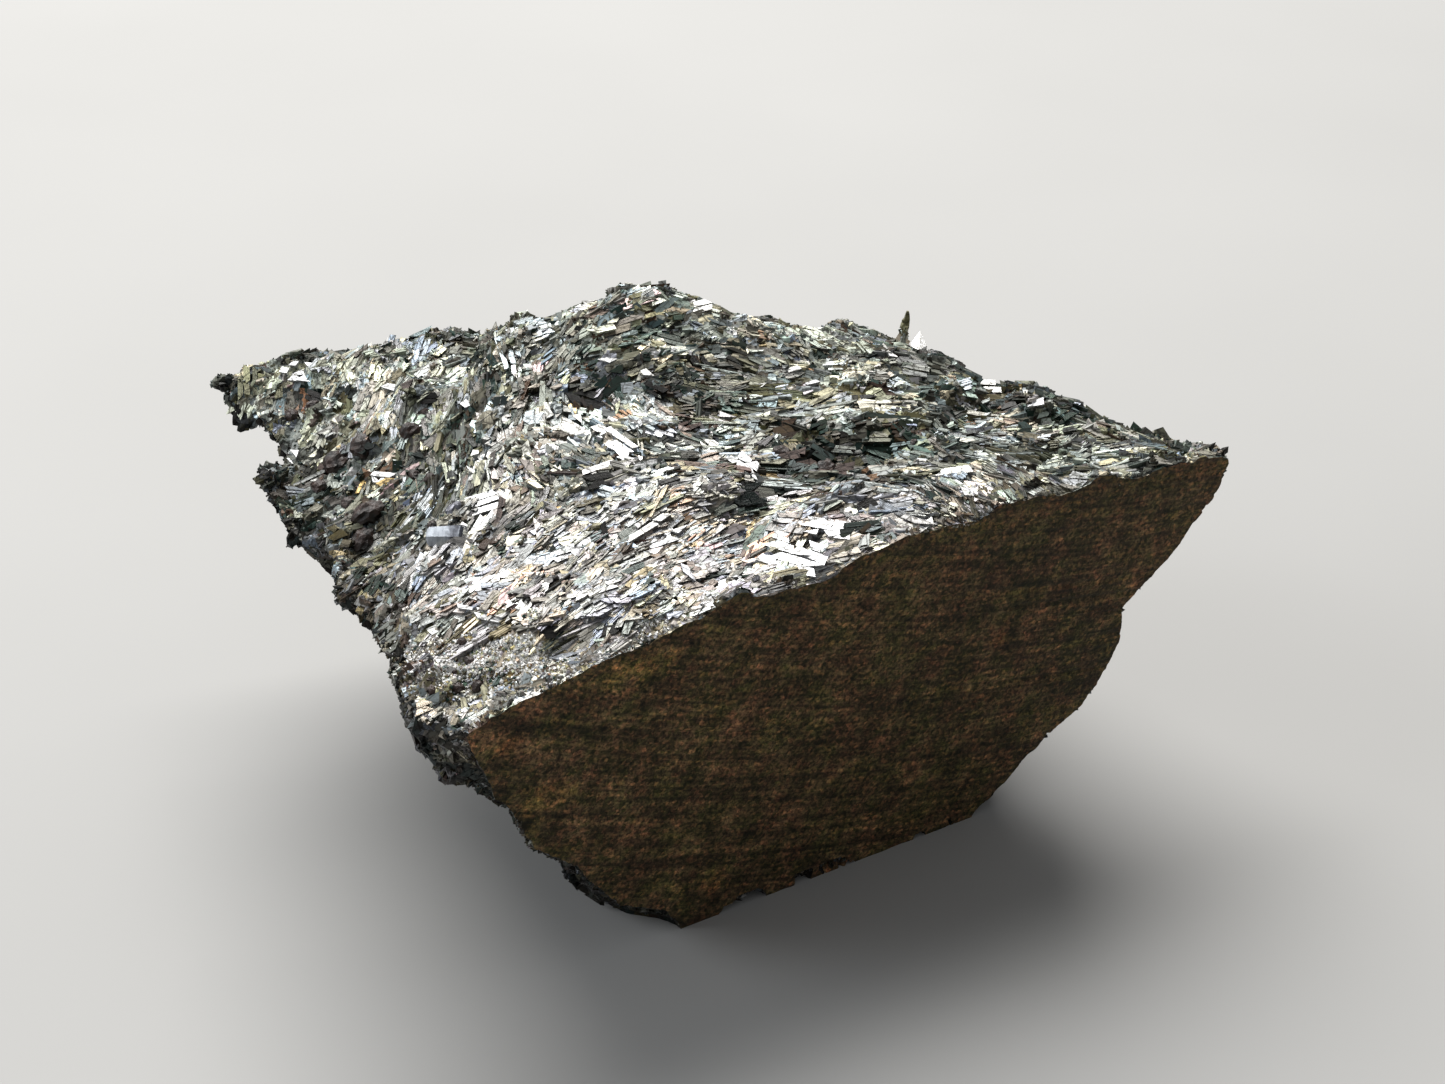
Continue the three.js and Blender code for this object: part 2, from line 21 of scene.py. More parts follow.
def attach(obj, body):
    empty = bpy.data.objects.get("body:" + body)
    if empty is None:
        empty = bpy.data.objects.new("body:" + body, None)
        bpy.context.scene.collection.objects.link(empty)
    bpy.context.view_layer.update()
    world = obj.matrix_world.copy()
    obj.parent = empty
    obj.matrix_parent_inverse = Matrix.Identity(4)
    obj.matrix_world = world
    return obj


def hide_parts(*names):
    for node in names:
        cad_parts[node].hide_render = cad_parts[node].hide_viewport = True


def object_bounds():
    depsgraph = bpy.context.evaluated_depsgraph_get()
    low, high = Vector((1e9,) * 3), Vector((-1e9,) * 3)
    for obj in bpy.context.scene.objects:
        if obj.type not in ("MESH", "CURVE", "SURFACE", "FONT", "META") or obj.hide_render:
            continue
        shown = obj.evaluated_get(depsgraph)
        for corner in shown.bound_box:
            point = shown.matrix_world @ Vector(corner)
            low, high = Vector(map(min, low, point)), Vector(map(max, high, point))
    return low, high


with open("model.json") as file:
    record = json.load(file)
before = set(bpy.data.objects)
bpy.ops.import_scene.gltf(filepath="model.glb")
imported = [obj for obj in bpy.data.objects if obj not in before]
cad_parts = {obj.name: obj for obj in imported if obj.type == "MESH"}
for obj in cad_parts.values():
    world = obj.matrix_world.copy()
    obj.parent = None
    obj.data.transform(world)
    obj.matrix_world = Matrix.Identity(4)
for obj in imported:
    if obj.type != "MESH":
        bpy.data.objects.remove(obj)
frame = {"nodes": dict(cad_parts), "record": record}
cad_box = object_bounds()

# ---------------- values

MM = 0.001
NODE = "nuummite"
RANDOM_SEED = 4107

# Camera: looks along +Y and down, at a point inside the stone.
CAMERA_ELEVATION = 30.0
CAMERA_LENS = 75.0
CAMERA_DISTANCE = 120.0
CAMERA_TARGET = (0.8, 5.9, 8.0)
# What the lamps point at.
LIGHT_AIM = (0, 0, 12)
# How far a piece may pass the box of the CAD model.
BOX_SLACK = 0.15

# Body.
BODY_VOXEL = 0.183
SMOOTH_VOXEL = 0.8
SHARD_COUNT = 7600
SHARD_LENGTH = 1.5
SHARD_WIDTH = 0.5
SHARD_TILT = 0.17
SHARD_STEP = 0.07
SHARD_LEAN = 0.6
EDGE_FADE = 0.5
# How deep the body is left smooth behind the saw cut and the foot, and how far a point may move.
FLAT_DEPTH = 0.62
SHIFT_LIMITS = (-0.4, 0.3)
# Breaks along the lower edge of the saw cut.
EDGE_CHIP_REACH = 0.9
EDGE_CHIP_DEPTH = 0.22
# Places where the edge above the saw cut is lowered or raised: x, y, radius and lift.
EDGE_LIFTS = ((17.65, -0.3, 0.6, -0.5), (18.9, 0.6, 1.3, 0.68))

# Saw cut: arcs left by a round blade, with its centre above the stone.
SAW_RADIUS = 90.0
SAW_PITCH = 0.3
SAW_ROW = 0.075
SAW_COLUMN = 0.7
SAW_DEPTH = 0.03
SAW_GRIT = 0.012
SAW_STROKE_SLOPE = -19.0

# Ochre stains and dark pits of the saw cut: x, y, z and radius.
OCHRE_SPOTS = (
    (-1.8, -12.4, 13.7, 0.9), (-2.7, -13, 13.9, 0.8), (-0.9, -11.9, 13.6, 0.6), (-5.4, -13.7, 9.2, 0.9),
    (-4.6, -13.3, 9.1, 0.7), (0.5, -8.5, 1.9, 0.8), (11.1, -3.3, 9.1, 0.6), (-6.3, -14.9, 12.2, 0.6),
)
DARK_PITS = (
    (-3.1, -12.7, 11.5, 0.35), (-1.4, -11.6, 10.8, 0.35), (-5.5, -14, 10.2, 0.3), (-5.1, -13.8, 10.5, 0.35),
    (-4.7, -13.6, 10.8, 0.3), (7.3, -5.4, 7.8, 0.35), (-6.9, -14.6, 9.9, 0.8), (-6.2, -13.9, 8.2, 0.8),
)

# Directions of the crystals on the top: x, y and the angle from +X in degrees.
GRAIN = (
    (-7.2, -10.1, 42), (-2.2, -7.1, 40), (-3.8, -0.3, -55), (1.3, -3.1, 5), (2.8, -7.1, 30), (3.8, 1.9, 10),
    (7.8, -1.1, 0), (10.3, -3.6, -50), (15.8, -0.1, 16), (3.8, 6.9, -20), (-3.2, 5.9, 30), (-8.7, 1.9, 84),
    (-12.2, 7.9, 70), (-13.2, 0.9, 25), (-10.2, -7.1, 60),
)

# Soft round patches of the top: x, y, radius and strength. Gleaming ones have broad clean faces and paler
# tints, which are partly painted highlight.
GLEAMING = (
    (-4.5, 0.5, 2.6, 0.4), (-2.6, -1.2, 2, 0.3), (-7.2, -2.6, 2.2, 0.6), (1.1, -2.4, 1.9, 0.5),
    (3.6, -7.6, 2, 1), (-1.8, -6.6, 2.8, 1), (-4.4, -7.8, 2, 0.8), (-7, -9, 2.2, 0.9), (-4, -10.6, 2, 0.8),
    (-9.2, -5.6, 1.8, 0.7), (-12.6, 5.6, 1.8, 0.5), (9.6, -2, 2.2, 0.35), (6.6, -6, 1.8, 0.7),
    (0.6, -8.8, 2, 0.7),
)
# Shaded ones are dark, greenish and grainy: partly the rock's own colour, partly painted shade below and
# beside the crest.
SHADED = (
    (-3.4, 4.2, 2, 0.55), (-0.6, 3.8, 2, 0.55), (1.6, 2.6, 2.2, 0.5), (3.9, -1.4, 2.4, 1),
    (6.6, -0.8, 1.8, 0.9), (5.6, -2.6, 1.5, 0.8), (-11.6, 1.4, 1.9, 0.7), (-14.6, 5.2, 1.3, 0.9),
    (-15.2, 2.4, 1.6, 0.6), (6.2, 3.6, 1.8, 0.3), (9.4, 4.6, 1.6, 0.4), (-8.6, 4.6, 1.6, 0.6),
    (-4.4, -12, 0.7, 1), (12.8, 2.6, 1.6, 0.4),
)
# Sandy ones are pale and granular.
SANDY = (
    (-7.6, -12.2, 1.9, 1), (-8.8, -10.6, 1.6, 0.8), (-5.4, -12.8, 1.6, 0.9), (-2.6, -12.2, 1.5, 0.7),
    (-13.6, 8.4, 3, 1), (-10.6, 7, 2.6, 0.8), (-17.6, 10, 1.8, 0.8), (5.5, -3.6, 1.8, 0.3),
    (4.8, 6.4, 3.4, 0.8), (15.6, 0.6, 3.4, 0.3), (-4.2, 6.8, 2, 0.6), (0.4, 7.2, 2, 0.5),
)
# Warm ones have tarnished blades.
WARM = (
    (1.9, -7, 1.2, 1), (-0.2, -7.1, 1.1, 0.8), (-1, -6, 1, 0.6), (-6.6, -8.8, 1.2, 0.8), (-8, -10, 0.8, 0.6),
    (-11.6, 2, 1.1, 0.7), (-14, 6.4, 0.9, 0.4), (3.4, 5.4, 1.4, 0.3), (-16.5, 9.4, 0.8, 1),
)

# Patches darker and paler than the rest: x, y, radius and strength. The first darker patch is painted shadow
# of the crest.
SHADOW_AND_DARKER = ((5.2, -2.6, 2.6, 0.42), (-5.6, -9.8, 2.2, 0.15))
PALER = ((-1.2, -4.6, 2.6, 0.2), (2.4, -6.4, 2.0, 0.2), (-6.8, -12.4, 2.4, 0.3))

# Fibrous patches have bundles of long thin blades.
FIBROUS = (
    (-1.6, -6.4, 2.4, 1), (-4.4, -7.8, 2.2, 1), (-7, -9.2, 2.2, 0.8), (-3.6, -10.6, 2.2, 1),
    (3.4, -9.4, 1.6, 0.7), (8.4, -4, 2.2, 0.9), (13, -0.8, 2.8, 1), (16.6, 0.2, 2, 0.9),
    (-9.4, -1.6, 1.8, 0.8), (-11.4, 6.4, 2.2, 0.6), (1.4, -1.8, 1.6, 0.6), (1.8, 2.8, 1.8, 0.6),
)

# How bright the body's splinters are beside the crystals. Where the top gleams they are paler still, as
# painted highlight.
BODY_TONE = 0.8

# The way the clean cleavage faces lean, and the way the dark ones do.
CLEAVAGE = np.array((-0.11, -0.22, 0.97))
SHADE_LIE = np.array((0.05, -0.62, 0.78))
# Single broad bright faces where the top glints: x, y, angle in degrees, length and width. They lean to
# mirror the key lamp, and their near-white tints are partly painted highlight.
BRIGHT_FACES = (
    (-4.4, 0.6, -48, 2.4, 1.1), (-3.2, -0.9, -52, 2.2, 0.9), (-5.4, -0.5, -40, 1.6, 0.9),
    (-2.4, -2.2, -36, 1.6, 0.5), (0.5, -1.2, -58, 1.8, 0.8), (1.7, -2.9, -50, 2.2, 0.8),
    (3.4, -7.8, -30, 2.4, 1.6), (4.5, -6.6, -18, 1.8, 0.9), (-1.6, -6.4, 44, 3.2, 0.6),
    (-1.1, -6.9, 27, 1.7, 0.9), (-4.2, -7.6, 24, 2.4, 0.6), (-7.2, -8.9, 40, 2.4, 0.6),
    (-5.6, -10.2, 34, 2, 0.5), (-3.4, -10.4, 20, 2.2, 0.5), (-7.6, -2.8, 20, 1.5, 1),
    (-8.6, -5.2, 62, 1.6, 0.7), (-8.1, -0.6, 75, 2, 1), (0.8, -9.4, 24, 1.8, 0.5), (7.4, -4.5, 37, 1.6, 0.5),
    (9.3, -2.5, 3, 1.8, 0.4), (8, -6.2, 40, 0.7, 0.4), (-7.5, -10.5, -23, 2.6, 0.45), (-6, -11, 60, 1.8, 0.5),
    (2.3, 3.4, 10, 1.1, 0.3), (3.5, 4.7, 15, 0.8, 0.3), (4.2, 3.9, 17, 0.6, 0.3), (11.1, 5.4, -4, 0.8, 0.7),
    (7.3, 6.2, -17, 1, 0.4), (12.6, 2.6, 11, 1, 0.4), (0, 7.3, 15, 1.8, 1), (-4.3, 8, -20, 1.2, 0.9),
    (-3.5, 3.8, -21, 0.6, 0.3), (-2.2, 3, -57, 1.1, 0.3), (-16.3, 10.6, -15, 1.6, 1.1),
    (-16.1, 6.2, -10, 0.9, 0.8), (-12.4, 8.3, -25, 0.6, 0.4), (-9, 4.5, -48, 0.6, 0.4),
    (-12.2, 2.5, -19, 1.3, 0.6), (-10.9, 4.7, -21, 0.5, 0.3), (-14.9, 4.6, -30, 0.5, 0.3),
)
# Single dark faces, and dark cracks. The face at -8.7, -5.9 is painted shadow below the prism.
DARK_AND_SHADOW_FACES = (
    (-14.6, 5.4, -39, 1.7, 0.9), (-12.5, 4.4, -36, 1.8, 0.9), (-10.8, 3.1, 19, 0.8, 0.6),
    (-11.2, 6, 32, 1.1, 0.4), (-15.6, 9.3, -30, 1.2, 0.5), (-14, 8.7, 69, 0.9, 0.5),
    (-10.8, 5.8, 11, 1.2, 0.5), (-4.4, 2.6, -18, 1.8, 0.7), (-3.1, 1.5, -42, 1.4, 0.6),
    (-0.3, 4.2, -54, 1.7, 1), (-0.3, 0.4, 31, 1.6, 0.5), (-1, -4.3, 17, 0.9, 0.6), (-3.7, -4, 19, 1.1, 0.7),
    (1.9, -4.6, 20, 1.6, 1), (3.5, -1.5, 25, 2.6, 0.8), (-5.1, -7.6, -69, 1.2, 0.25),
    (-3.3, -6.6, -79, 1.2, 0.25), (-4.9, -12, 8, 1.5, 0.5), (-3.2, -11.9, 6, 1.4, 0.4), (6.4, 3.2, 5, 1, 0.5),
    (9.6, 1.4, 0, 1.4, 0.5), (11.8, 4, 30, 1.3, 0.6), (13.6, 1.2, 16, 1.2, 0.3), (15.9, 1.4, 20, 1, 0.3),
    (-7.2, -3.9, 80, 1.3, 0.25), (-2.4, -8.8, 30, 1.3, 0.3), (0.6, -6.2, 34, 1.2, 0.3),
    # (-8.7, -5.9) is painted shadow below the prism.
    (5.8, -5.4, 36, 1.2, 0.4), (-8.7, -5.9, -12, 1.6, 0.7), (5.3, -2.2, 18, 2.2, 0.7),
    (7.2, -1.6, 8, 1.6, 0.5), (-1.7, 2.2, -30, 1.2, 0.5),
)
# Dark garnets: x, y and size.
GARNETS = (
    (-12.5, 0.6, 1.3), (-12.7, -0.4, 1.1), (-13.4, 1.9, 0.7), (-11.2, 0.2, 0.5), (-14.3, 5.5, 1.3),
    (-13.2, 5, 1.1), (-14.9, 4.4, 0.8), (-11.2, 4.4, 0.9), (-10.6, 5.2, 0.7), (-15.6, 8.9, 0.7),
    (-10.9, 2.2, 0.6), (-10.2, 1.2, 0.5), (-8.1, -13.1, 0.5), (-7.4, -13.3, 0.45), (-8.6, -11.7, 0.3),
    (-8, -11.5, 0.35), (-7.7, -12.3, 0.45), (-8.2, -12.6, 0.3), (-9, -13.2, 0.5), (-8.9, -13.7, 0.4),
    (-9.6, -4.3, 0.5), (-5, -9.3, 0.5), (-1.1, -4.6, 0.4), (3, -0.9, 0.7), (4.6, -1.9, 0.8), (11.2, 4.9, 0.6),
    (-16.4, 8.6, 0.6), (-12, -0.9, 0.4), (-10.4, -8.3, 0.4), (7.9, 0.3, 0.5),
)

# The grain beside the spike, tinted white as partly painted highlight: x, y and size.
SPARKLE = (8.5, 8.4, 1.3)
# The spike, which is left bare: x, y, lowest height and radius.
SPIKE_GAP = (8.0, 8.6, 16.35, 0.65)

# The stubby prism: x, y, angle in radians, length and width, and how steeply it rises.
PRISM = (-9.0, -4.9, -0.22, 1.4, 0.88)
PRISM_RISE = 0.12
# The strip round it that is left clear: x, y, angle in degrees, length and width.
PRISM_GAP = (-9.0, -5.1, -12, 2.0, 1.5)

# Colours of the crystals, as linear red, green and blue, and the range that all colours are kept in.
TINT_LIMITS = (0.004, 0.92)
COLOURS = np.array((
    (0.335, 0.35, 0.368),   # silver
    (0.192, 0.19, 0.175),   # steel
    (0.046, 0.041, 0.031),  # charcoal
    (0.018, 0.042, 0.034),  # dark green
    (0.16, 0.146, 0.080),   # olive
    (0.085, 0.050, 0.031),  # brown
    (0.59, 0.585, 0.52),    # sand
))
# Near-white tints of the broad bright faces: partly painted highlight.
PALE_AND_HIGHLIGHT_TINTS = np.array(((0.62, 0.63, 0.65), (0.55, 0.55, 0.54)))
# Near-black tints of the dark faces, one of which is painted shadow.
DARK_AND_SHADOW_TINTS = np.array(((0.012, 0.011, 0.010), (0.034, 0.015, 0.009), (0.010, 0.017, 0.015)))
# How likely each colour is, and how the patches change that.
USUAL = np.array((0.22, 0.26, 0.13, 0.09, 0.10, 0.07, 0.13))
WHERE_GLEAMING = np.array((0.60, 0.20, -0.10, -0.07, -0.06, -0.03, 0.00))
WHERE_SHADED = np.array((-0.20, -0.12, 0.26, 0.22, 0.12, 0.04, -0.02))
WHERE_SANDY = np.array((0.25, 0.14, -0.13, -0.08, 0.04, 0.00, 0.95))
# How colours vary: warm or cool, green or pink, and pale or dark.
HUE_SPREAD = np.array(((0.075, 0.00, -0.105), (-0.018, 0.030, -0.018), (0.03, 0.03, 0.03)))
# The rock is a little warmer in front and greener at the back.
FRONT_HUE = np.array((1.02, 0.985, 0.965))
BACK_HUE = np.array((0.975, 1.02, 0.99))
MOTTLE_SIZE = 1.3
TARNISH = np.array((
    (0.90, 0.60, 0.20), (0.88, 0.68, 0.36), (0.85, 0.36, 0.16), (0.80, 0.50, 0.54), (0.46, 0.22, 0.08),
    (0.42, 0.50, 0.74),
))
# The pale strip beside the saw cut.
RIM_WIDTH = 0.9

# ---------------- fields

rng = np.random.default_rng(RANDOM_SEED)
saw_mount = next(m for m in frame["record"]["mounts"] if m["name"] == "sawn_face")
saw_normal = np.array(saw_mount["axis"])
saw_normal /= np.linalg.norm(saw_normal)
saw_point = np.array(saw_mount["pos_m"]) / MM
box_low = np.array(cad_box[0]) / MM
box_high = np.array(cad_box[1]) / MM
UP = np.array((0.0, 0.0, 1.0))


def saw_distance(points):
    """How far points lie in front of the saw cut."""
    return (points - saw_point) @ saw_normal


def smooth(x):
    """Runs smoothly from 0 to 1 as x does."""
    x = np.clip(x, 0, 1)
    return x * x * (3 - 2 * x)


def above(points, level, fade):
    """Rises from 0 at a level to 1 where points lie a fade higher."""
    return smooth((points[:, 2] - level) / fade)


def away_from(points, x, y):
    return np.hypot(points[:, 0] - x, points[:, 1] - y)


def unit(vectors):
    return vectors / np.maximum(np.linalg.norm(vectors, axis=-1, keepdims=True), 1e-12)


def dots(a, b):
    return np.sum(a * b, axis=-1, keepdims=True)


def square_to(normals, vectors):
    return unit(vectors - dots(vectors, normals) * normals)


def headings(angle):
    """Level directions at angles from +X."""
    return np.stack([np.cos(angle), np.sin(angle), np.zeros(len(angle))], axis=1)


def between(limits, share):
    return limits[0] + (limits[1] - limits[0]) * share


def grain_run(points, normals, turn):
    """Direction of crystals on the surface: along the grain on the top, and across and up a flank."""
    rows = np.array(GRAIN, float)
    squared = np.sum((points[:, None, :2] - rows[:, :2]) ** 2, axis=2)
    weight = 1 / (squared + 0.5) ** 1.5
    # A direction has no sign, so its angle is doubled while it is averaged.
    doubled = np.radians(2 * rows[:, 2])
    angle = 0.5 * np.arctan2(weight @ np.sin(doubled), weight @ np.cos(doubled)) + turn
    around = unit(np.cross(UP, normals))
    steep = np.cos(angle)[:, None] * around + np.sin(angle)[:, None] * UP
    return square_to(normals, np.where(np.abs(normals[:, 2:3]) < 0.6, steep, headings(angle)))


def patches(points, rows):
    """Strength of soft round patches at each point."""
    total = np.zeros(len(points))
    for x, y, radius, strength in rows:
        share = 1 - smooth(away_from(points, x, y) / radius - 0.5)
        total = np.maximum(total, strength * share)
    return total


def zones_at(points, normals):
    """The kind of rock at each point, with patches of painted light and shade, as an array of records."""
    flank = smooth((0.55 - normals[:, 2]) / 0.35)
    top = 1 - flank
    rim = 0.6 * np.exp(-(saw_distance(points) / RIM_WIDTH) ** 2)
    gleaming, shaded, warm = (patches(points, rows) * top for rows in (GLEAMING, SHADED, WARM))
    sandy = np.maximum(patches(points, SANDY), rim) * top
    # shade lowers the tints in the darker patches. The first of these is painted shadow of the crest.
    shade = patches(points, PALER) - patches(points, SHADOW_AND_DARKER)
    back = smooth((points[:, 1] + 6.0) / 6.0)
    mottle = np.clip([2.2 * solid_noise.noise(Vector(p) / MOTTLE_SIZE) for p in points], -1, 1)
    fields = [flank, gleaming, shaded, warm, sandy, shade, back, mottle]
    return np.rec.fromarrays(fields, names="flank, gleaming, shaded, warm, sandy, shade, back, mottle")


def tints(zones):
    """A random colour and roughness for each place."""
    count = len(zones)
    # Where the top gleams, paler colours are picked: partly painted highlight.
    bright = np.maximum(zones.gleaming, 0.45 * zones.mottle * (1 - zones.shaded))
    # On the flanks darker colours are picked: partly the rock's own dark broken faces, partly painted shade
    # on the sides.
    dark = np.maximum(zones.shaded, 0.85 * zones.flank)
    dark = np.maximum(dark, -0.8 * zones.mottle * (1 - zones.gleaming))
    chance = USUAL + bright[:, None] * WHERE_GLEAMING + dark[:, None] * WHERE_SHADED
    chance = np.cumsum(np.clip(chance + zones.sandy[:, None] * WHERE_SANDY, 0.01, None), axis=1)
    pick = np.sum(rng.random((count, 1)) > chance / chance[:, -1:], axis=1)
    # The flank factor darkens the tints further, as painted shade on the steep sides.
    tone = np.exp(0.4 * zones.mottle * (1 - 0.7 * zones.gleaming) + zones.shade) * (1 - 0.72 * zones.flank)
    tint = COLOURS[pick] * (1 + rng.normal(size=(count, 3)) @ HUE_SPREAD) * tone[:, None]
    tint *= FRONT_HUE + zones.back[:, None] * (BACK_HUE - FRONT_HUE)
    tarnished = rng.random(count) < 0.003 + 0.32 * zones.warm
    colour = TARNISH[rng.integers(0, len(TARNISH), count)]
    tint = np.where(tarnished[:, None], 0.4 * tint + 0.5 * colour, tint)
    sheen = 0.14 + 0.22 * rng.random(count) + 0.14 * zones.shaded + 0.22 * zones.sandy
    return tint, sheen + 0.25 * zones.flank


# ---------------- mesh helpers


def read(items, name, width=3, kind=float):
    """A property of a mesh's vertices, loops or faces, as rows."""
    values = np.empty(len(items) * width, dtype=kind)
    items.foreach_get(name, values)
    return values.reshape(-1, width)


def mesh_arrays(mesh):
    """Corner positions and triangles of a mesh."""
    mesh.calc_loop_triangles()
    return read(mesh.vertices, "co"), read(mesh.loop_triangles, "vertices", kind=np.int32)


def tree_of(mesh):
    points, triangles = mesh_arrays(mesh)
    return BVHTree.FromPolygons(points.tolist(), triangles.tolist())


def set_points(mesh, points):
    mesh.vertices.foreach_set("co", points.ravel())
    mesh.update()


def add_looks(mesh, domain, tint, lie, sheen):
    """Gives points or face corners what their material reads."""
    colour = np.concatenate([np.clip(tint, *TINT_LIMITS), np.ones((len(tint), 1))], axis=1)
    for name, kind, field, values in (
        ("tint", "FLOAT_COLOR", "color", colour),
        ("lie", "FLOAT_VECTOR", "vector", lie),
        ("sheen", "FLOAT", "value", sheen),
    ):
        mesh.attributes.new(name, kind, domain).data.foreach_set(field, values.ravel())


def add_object(name, mesh):
    thing = bpy.data.objects.new(name, mesh)
    bpy.context.scene.collection.objects.link(thing)
    return thing


def object_from(build, name):
    mesh = bpy.data.meshes.new(name)
    build.to_mesh(mesh)
    build.free()
    return add_object(name, mesh)


def object_of(name, points, faces):
    mesh = bpy.data.meshes.new(name)
    mesh.from_pydata(points, [], faces)
    mesh.validate()
    return add_object(name, mesh)


def discard(thing):
    mesh = thing.data
    bpy.data.objects.remove(thing)
    bpy.data.meshes.remove(mesh)


def modify(thing, kind, **settings):
    modifier = thing.modifiers.new(kind, kind)
    for key, value in settings.items():
        setattr(modifier, key, value)
    graph = bpy.context.evaluated_depsgraph_get()
    done = bpy.data.meshes.new_from_object(thing.evaluated_get(graph))
    thing.modifiers.clear()
    old = thing.data
    thing.data = done
    bpy.data.meshes.remove(old)


def remeshed(source, name, voxel):
    """The shape of a CAD node as an even mesh, in millimetres."""
    build = bmesh.new()
    build.from_mesh(source.data)
    bmesh.ops.remove_doubles(build, verts=build.verts, dist=1e-7)
    bmesh.ops.scale(build, vec=(1 / MM, 1 / MM, 1 / MM), verts=build.verts)
    thing = object_from(build, name)
    modify(thing, "REMESH", mode="VOXEL", voxel_size=voxel)
    return thing


# ---------------- body


class Shards:
    """The splinters that the stone's surface breaks into."""

    def __init__(self, points, normals):
        seeds = rng.choice(len(points), size=SHARD_COUNT, replace=False)
        self.at = points[seeds]
        self.out = normals[seeds]
        self.run = grain_run(self.at, self.out, rng.random(SHARD_COUNT) - 0.5)
        self.side = np.cross(self.out, self.run)
        self.tree = KDTree(SHARD_COUNT)
        for i, place in enumerate(self.at):
            self.tree.insert(place, i)
        self.tree.balance()

    def local(self, points, owner):
        """Where points lie along, across and above their splinters."""
        offset = points - self.at[owner]
        axes = (self.run, self.side, self.out)
        return np.concatenate([dots(offset, axis[owner]) for axis in axes], axis=-1)

    def owners(self, points):
        """The splinter that each point belongs to."""
        near = np.array([[i for _, i, _ in self.tree.find_n(p, 9)] for p in points])
        place = self.local(points[:, None], near)
        measure = np.sum((place / (SHARD_LENGTH, SHARD_WIDTH, SHARD_WIDTH)) ** 2, axis=2)
        return near[np.arange(len(points)), np.argmin(measure, axis=1)]

    def shift(self, points):
        """How far out each point moves as the splinters tilt and step apart."""
        owner = self.owners(points)
        place = self.local(points, owner)
        zones = zones_at(self.at, self.out)
        slope = rng.normal(size=(SHARD_COUNT, 2)) * (0.5, 1.0) * SHARD_TILT
        slope *= 1 - 0.5 * zones.gleaming[:, None]
        for share, lie in ((zones.gleaming, CLEAVAGE), (zones.shaded, SHADE_LIE)):
            slope[:, 0] -= SHARD_LEAN * share * (self.run @ lie)
            slope[:, 1] -= SHARD_LEAN * share * (self.side @ lie)
        step = rng.normal(size=SHARD_COUNT) * SHARD_STEP
        return np.clip(step[owner] + np.sum(slope[owner] * place[:, :2], axis=1), *SHIFT_LIMITS)

    def colour(self, mesh, skin):
        """Gives each face of the body its splinter's looks."""
        owner = self.owners(read(mesh.polygons, "center"))
        owner = np.repeat(owner, read(mesh.polygons, "loop_total", 1, np.int32)[:, 0])
        points = read(mesh.vertices, "co")[read(mesh.loops, "vertex_index", 1, np.int32)[:, 0]]
        lie = self.local(points, owner) + apart(SHARD_COUNT)[owner]
        zones = zones_at(self.at, skin.normals(self.at))
        tint, sheen = tints(zones)
        tone = BODY_TONE + (1 - BODY_TONE) * zones.gleaming + 1.2 * gritty(self.at)
        tint *= np.exp(rng.normal(size=(SHARD_COUNT, 1)) * 0.25) * tone[:, None]
        sheen = sheen + 0.15 * (1 - zones.gleaming)
        add_looks(mesh, "CORNER", tint[owner], lie, sheen[owner])


def saw_axes():
    """The saw's stroke and the direction up the cut."""
    level = unit(np.cross(UP, saw_normal))
    rise = np.cross(saw_normal, level)
    slope = math.radians(SAW_STROKE_SLOPE)
    stroke = math.cos(slope) * level + math.sin(slope) * rise
    return stroke, np.cross(saw_normal, stroke)


def chipped(points, distance):
    """How much is broken off, from 0 to 1, along the edge between the saw cut and the foot."""
    behind = np.maximum(-distance, points[:, 2])
    share = np.zeros(len(points))
    for i in np.flatnonzero(behind < EDGE_CHIP_REACH):
        place = Vector(points[i])
        share[i] = solid_noise.noise(place / 1.6) + 0.5 * solid_noise.noise(place / 0.5)
    return smooth((share - 0.02) / 0.3) * smooth(1.3 * (1 - behind / EDGE_CHIP_REACH))


def groove_depths(rows, columns):
    """Depth of the saw marks, in rows across them and columns along them."""
    phase = rows / SAW_PITCH + 0.35 * np.sin(rows * 2.1)
    groove = np.floor(phase).astype(int)
    groove -= groove.min()
    deepest = SAW_DEPTH * (0.35 + 1.3 * rng.random(groove.max() + 2) ** 2)
    start = rng.random(groove.max() + 2) * 2 * np.pi
    profile = np.sin(np.pi * (phase % 1.0))
    waver = 0.65 + 0.35 * np.sin(columns * 0.35 + start[groove][:, None])
    return deepest[groove][:, None] * profile[:, None] * waver + SAW_GRIT * rng.random(waver.shape)


def saw_cutter():
    """A block in front of the cut, whose near face is grooved along arcs."""
    stroke, climb = saw_axes()
    rows = np.arange(-14, 14, SAW_ROW)
    columns = np.arange(-20, 20, SAW_COLUMN)
    depth = groove_depths(rows, columns)
    turn = columns / SAW_RADIUS
    radius = (SAW_RADIUS - rows)[:, None]
    across = np.sin(turn) * radius
    up = SAW_RADIUS - np.cos(turn) * radius
    near = saw_point + across[..., None] * stroke + up[..., None] * climb - depth[..., None] * saw_normal
    points = np.stack([near, near + 3 * saw_normal]).reshape(-1, 3)
    grid = np.arange(len(points)).reshape(2, *depth.shape).transpose(1, 2, 0)
    ends = grid[:, [0, -1]]
    sides = grid[[0, -1]].swapaxes(0, 1)
    quads = (
        (grid[:-1, :-1], grid[1:, :-1], grid[1:, 1:], grid[:-1, 1:]),
        (ends[:-1, :, 0], ends[:-1, :, 1], ends[1:, :, 1], ends[1:, :, 0]),
        (sides[:-1, :, 0], sides[1:, :, 0], sides[1:, :, 1], sides[:-1, :, 1]),
    )
    faces = np.concatenate([np.stack(corners, axis=-1).reshape(-1, 4) for corners in quads])
    cutter = object_of("saw_cutter", points, faces)
    turned = bmesh.new()
    turned.from_mesh(cutter.data)
    bmesh.ops.recalc_face_normals(turned, faces=turned.faces)
    turned.to_mesh(cutter.data)
    turned.free()
    return cutter


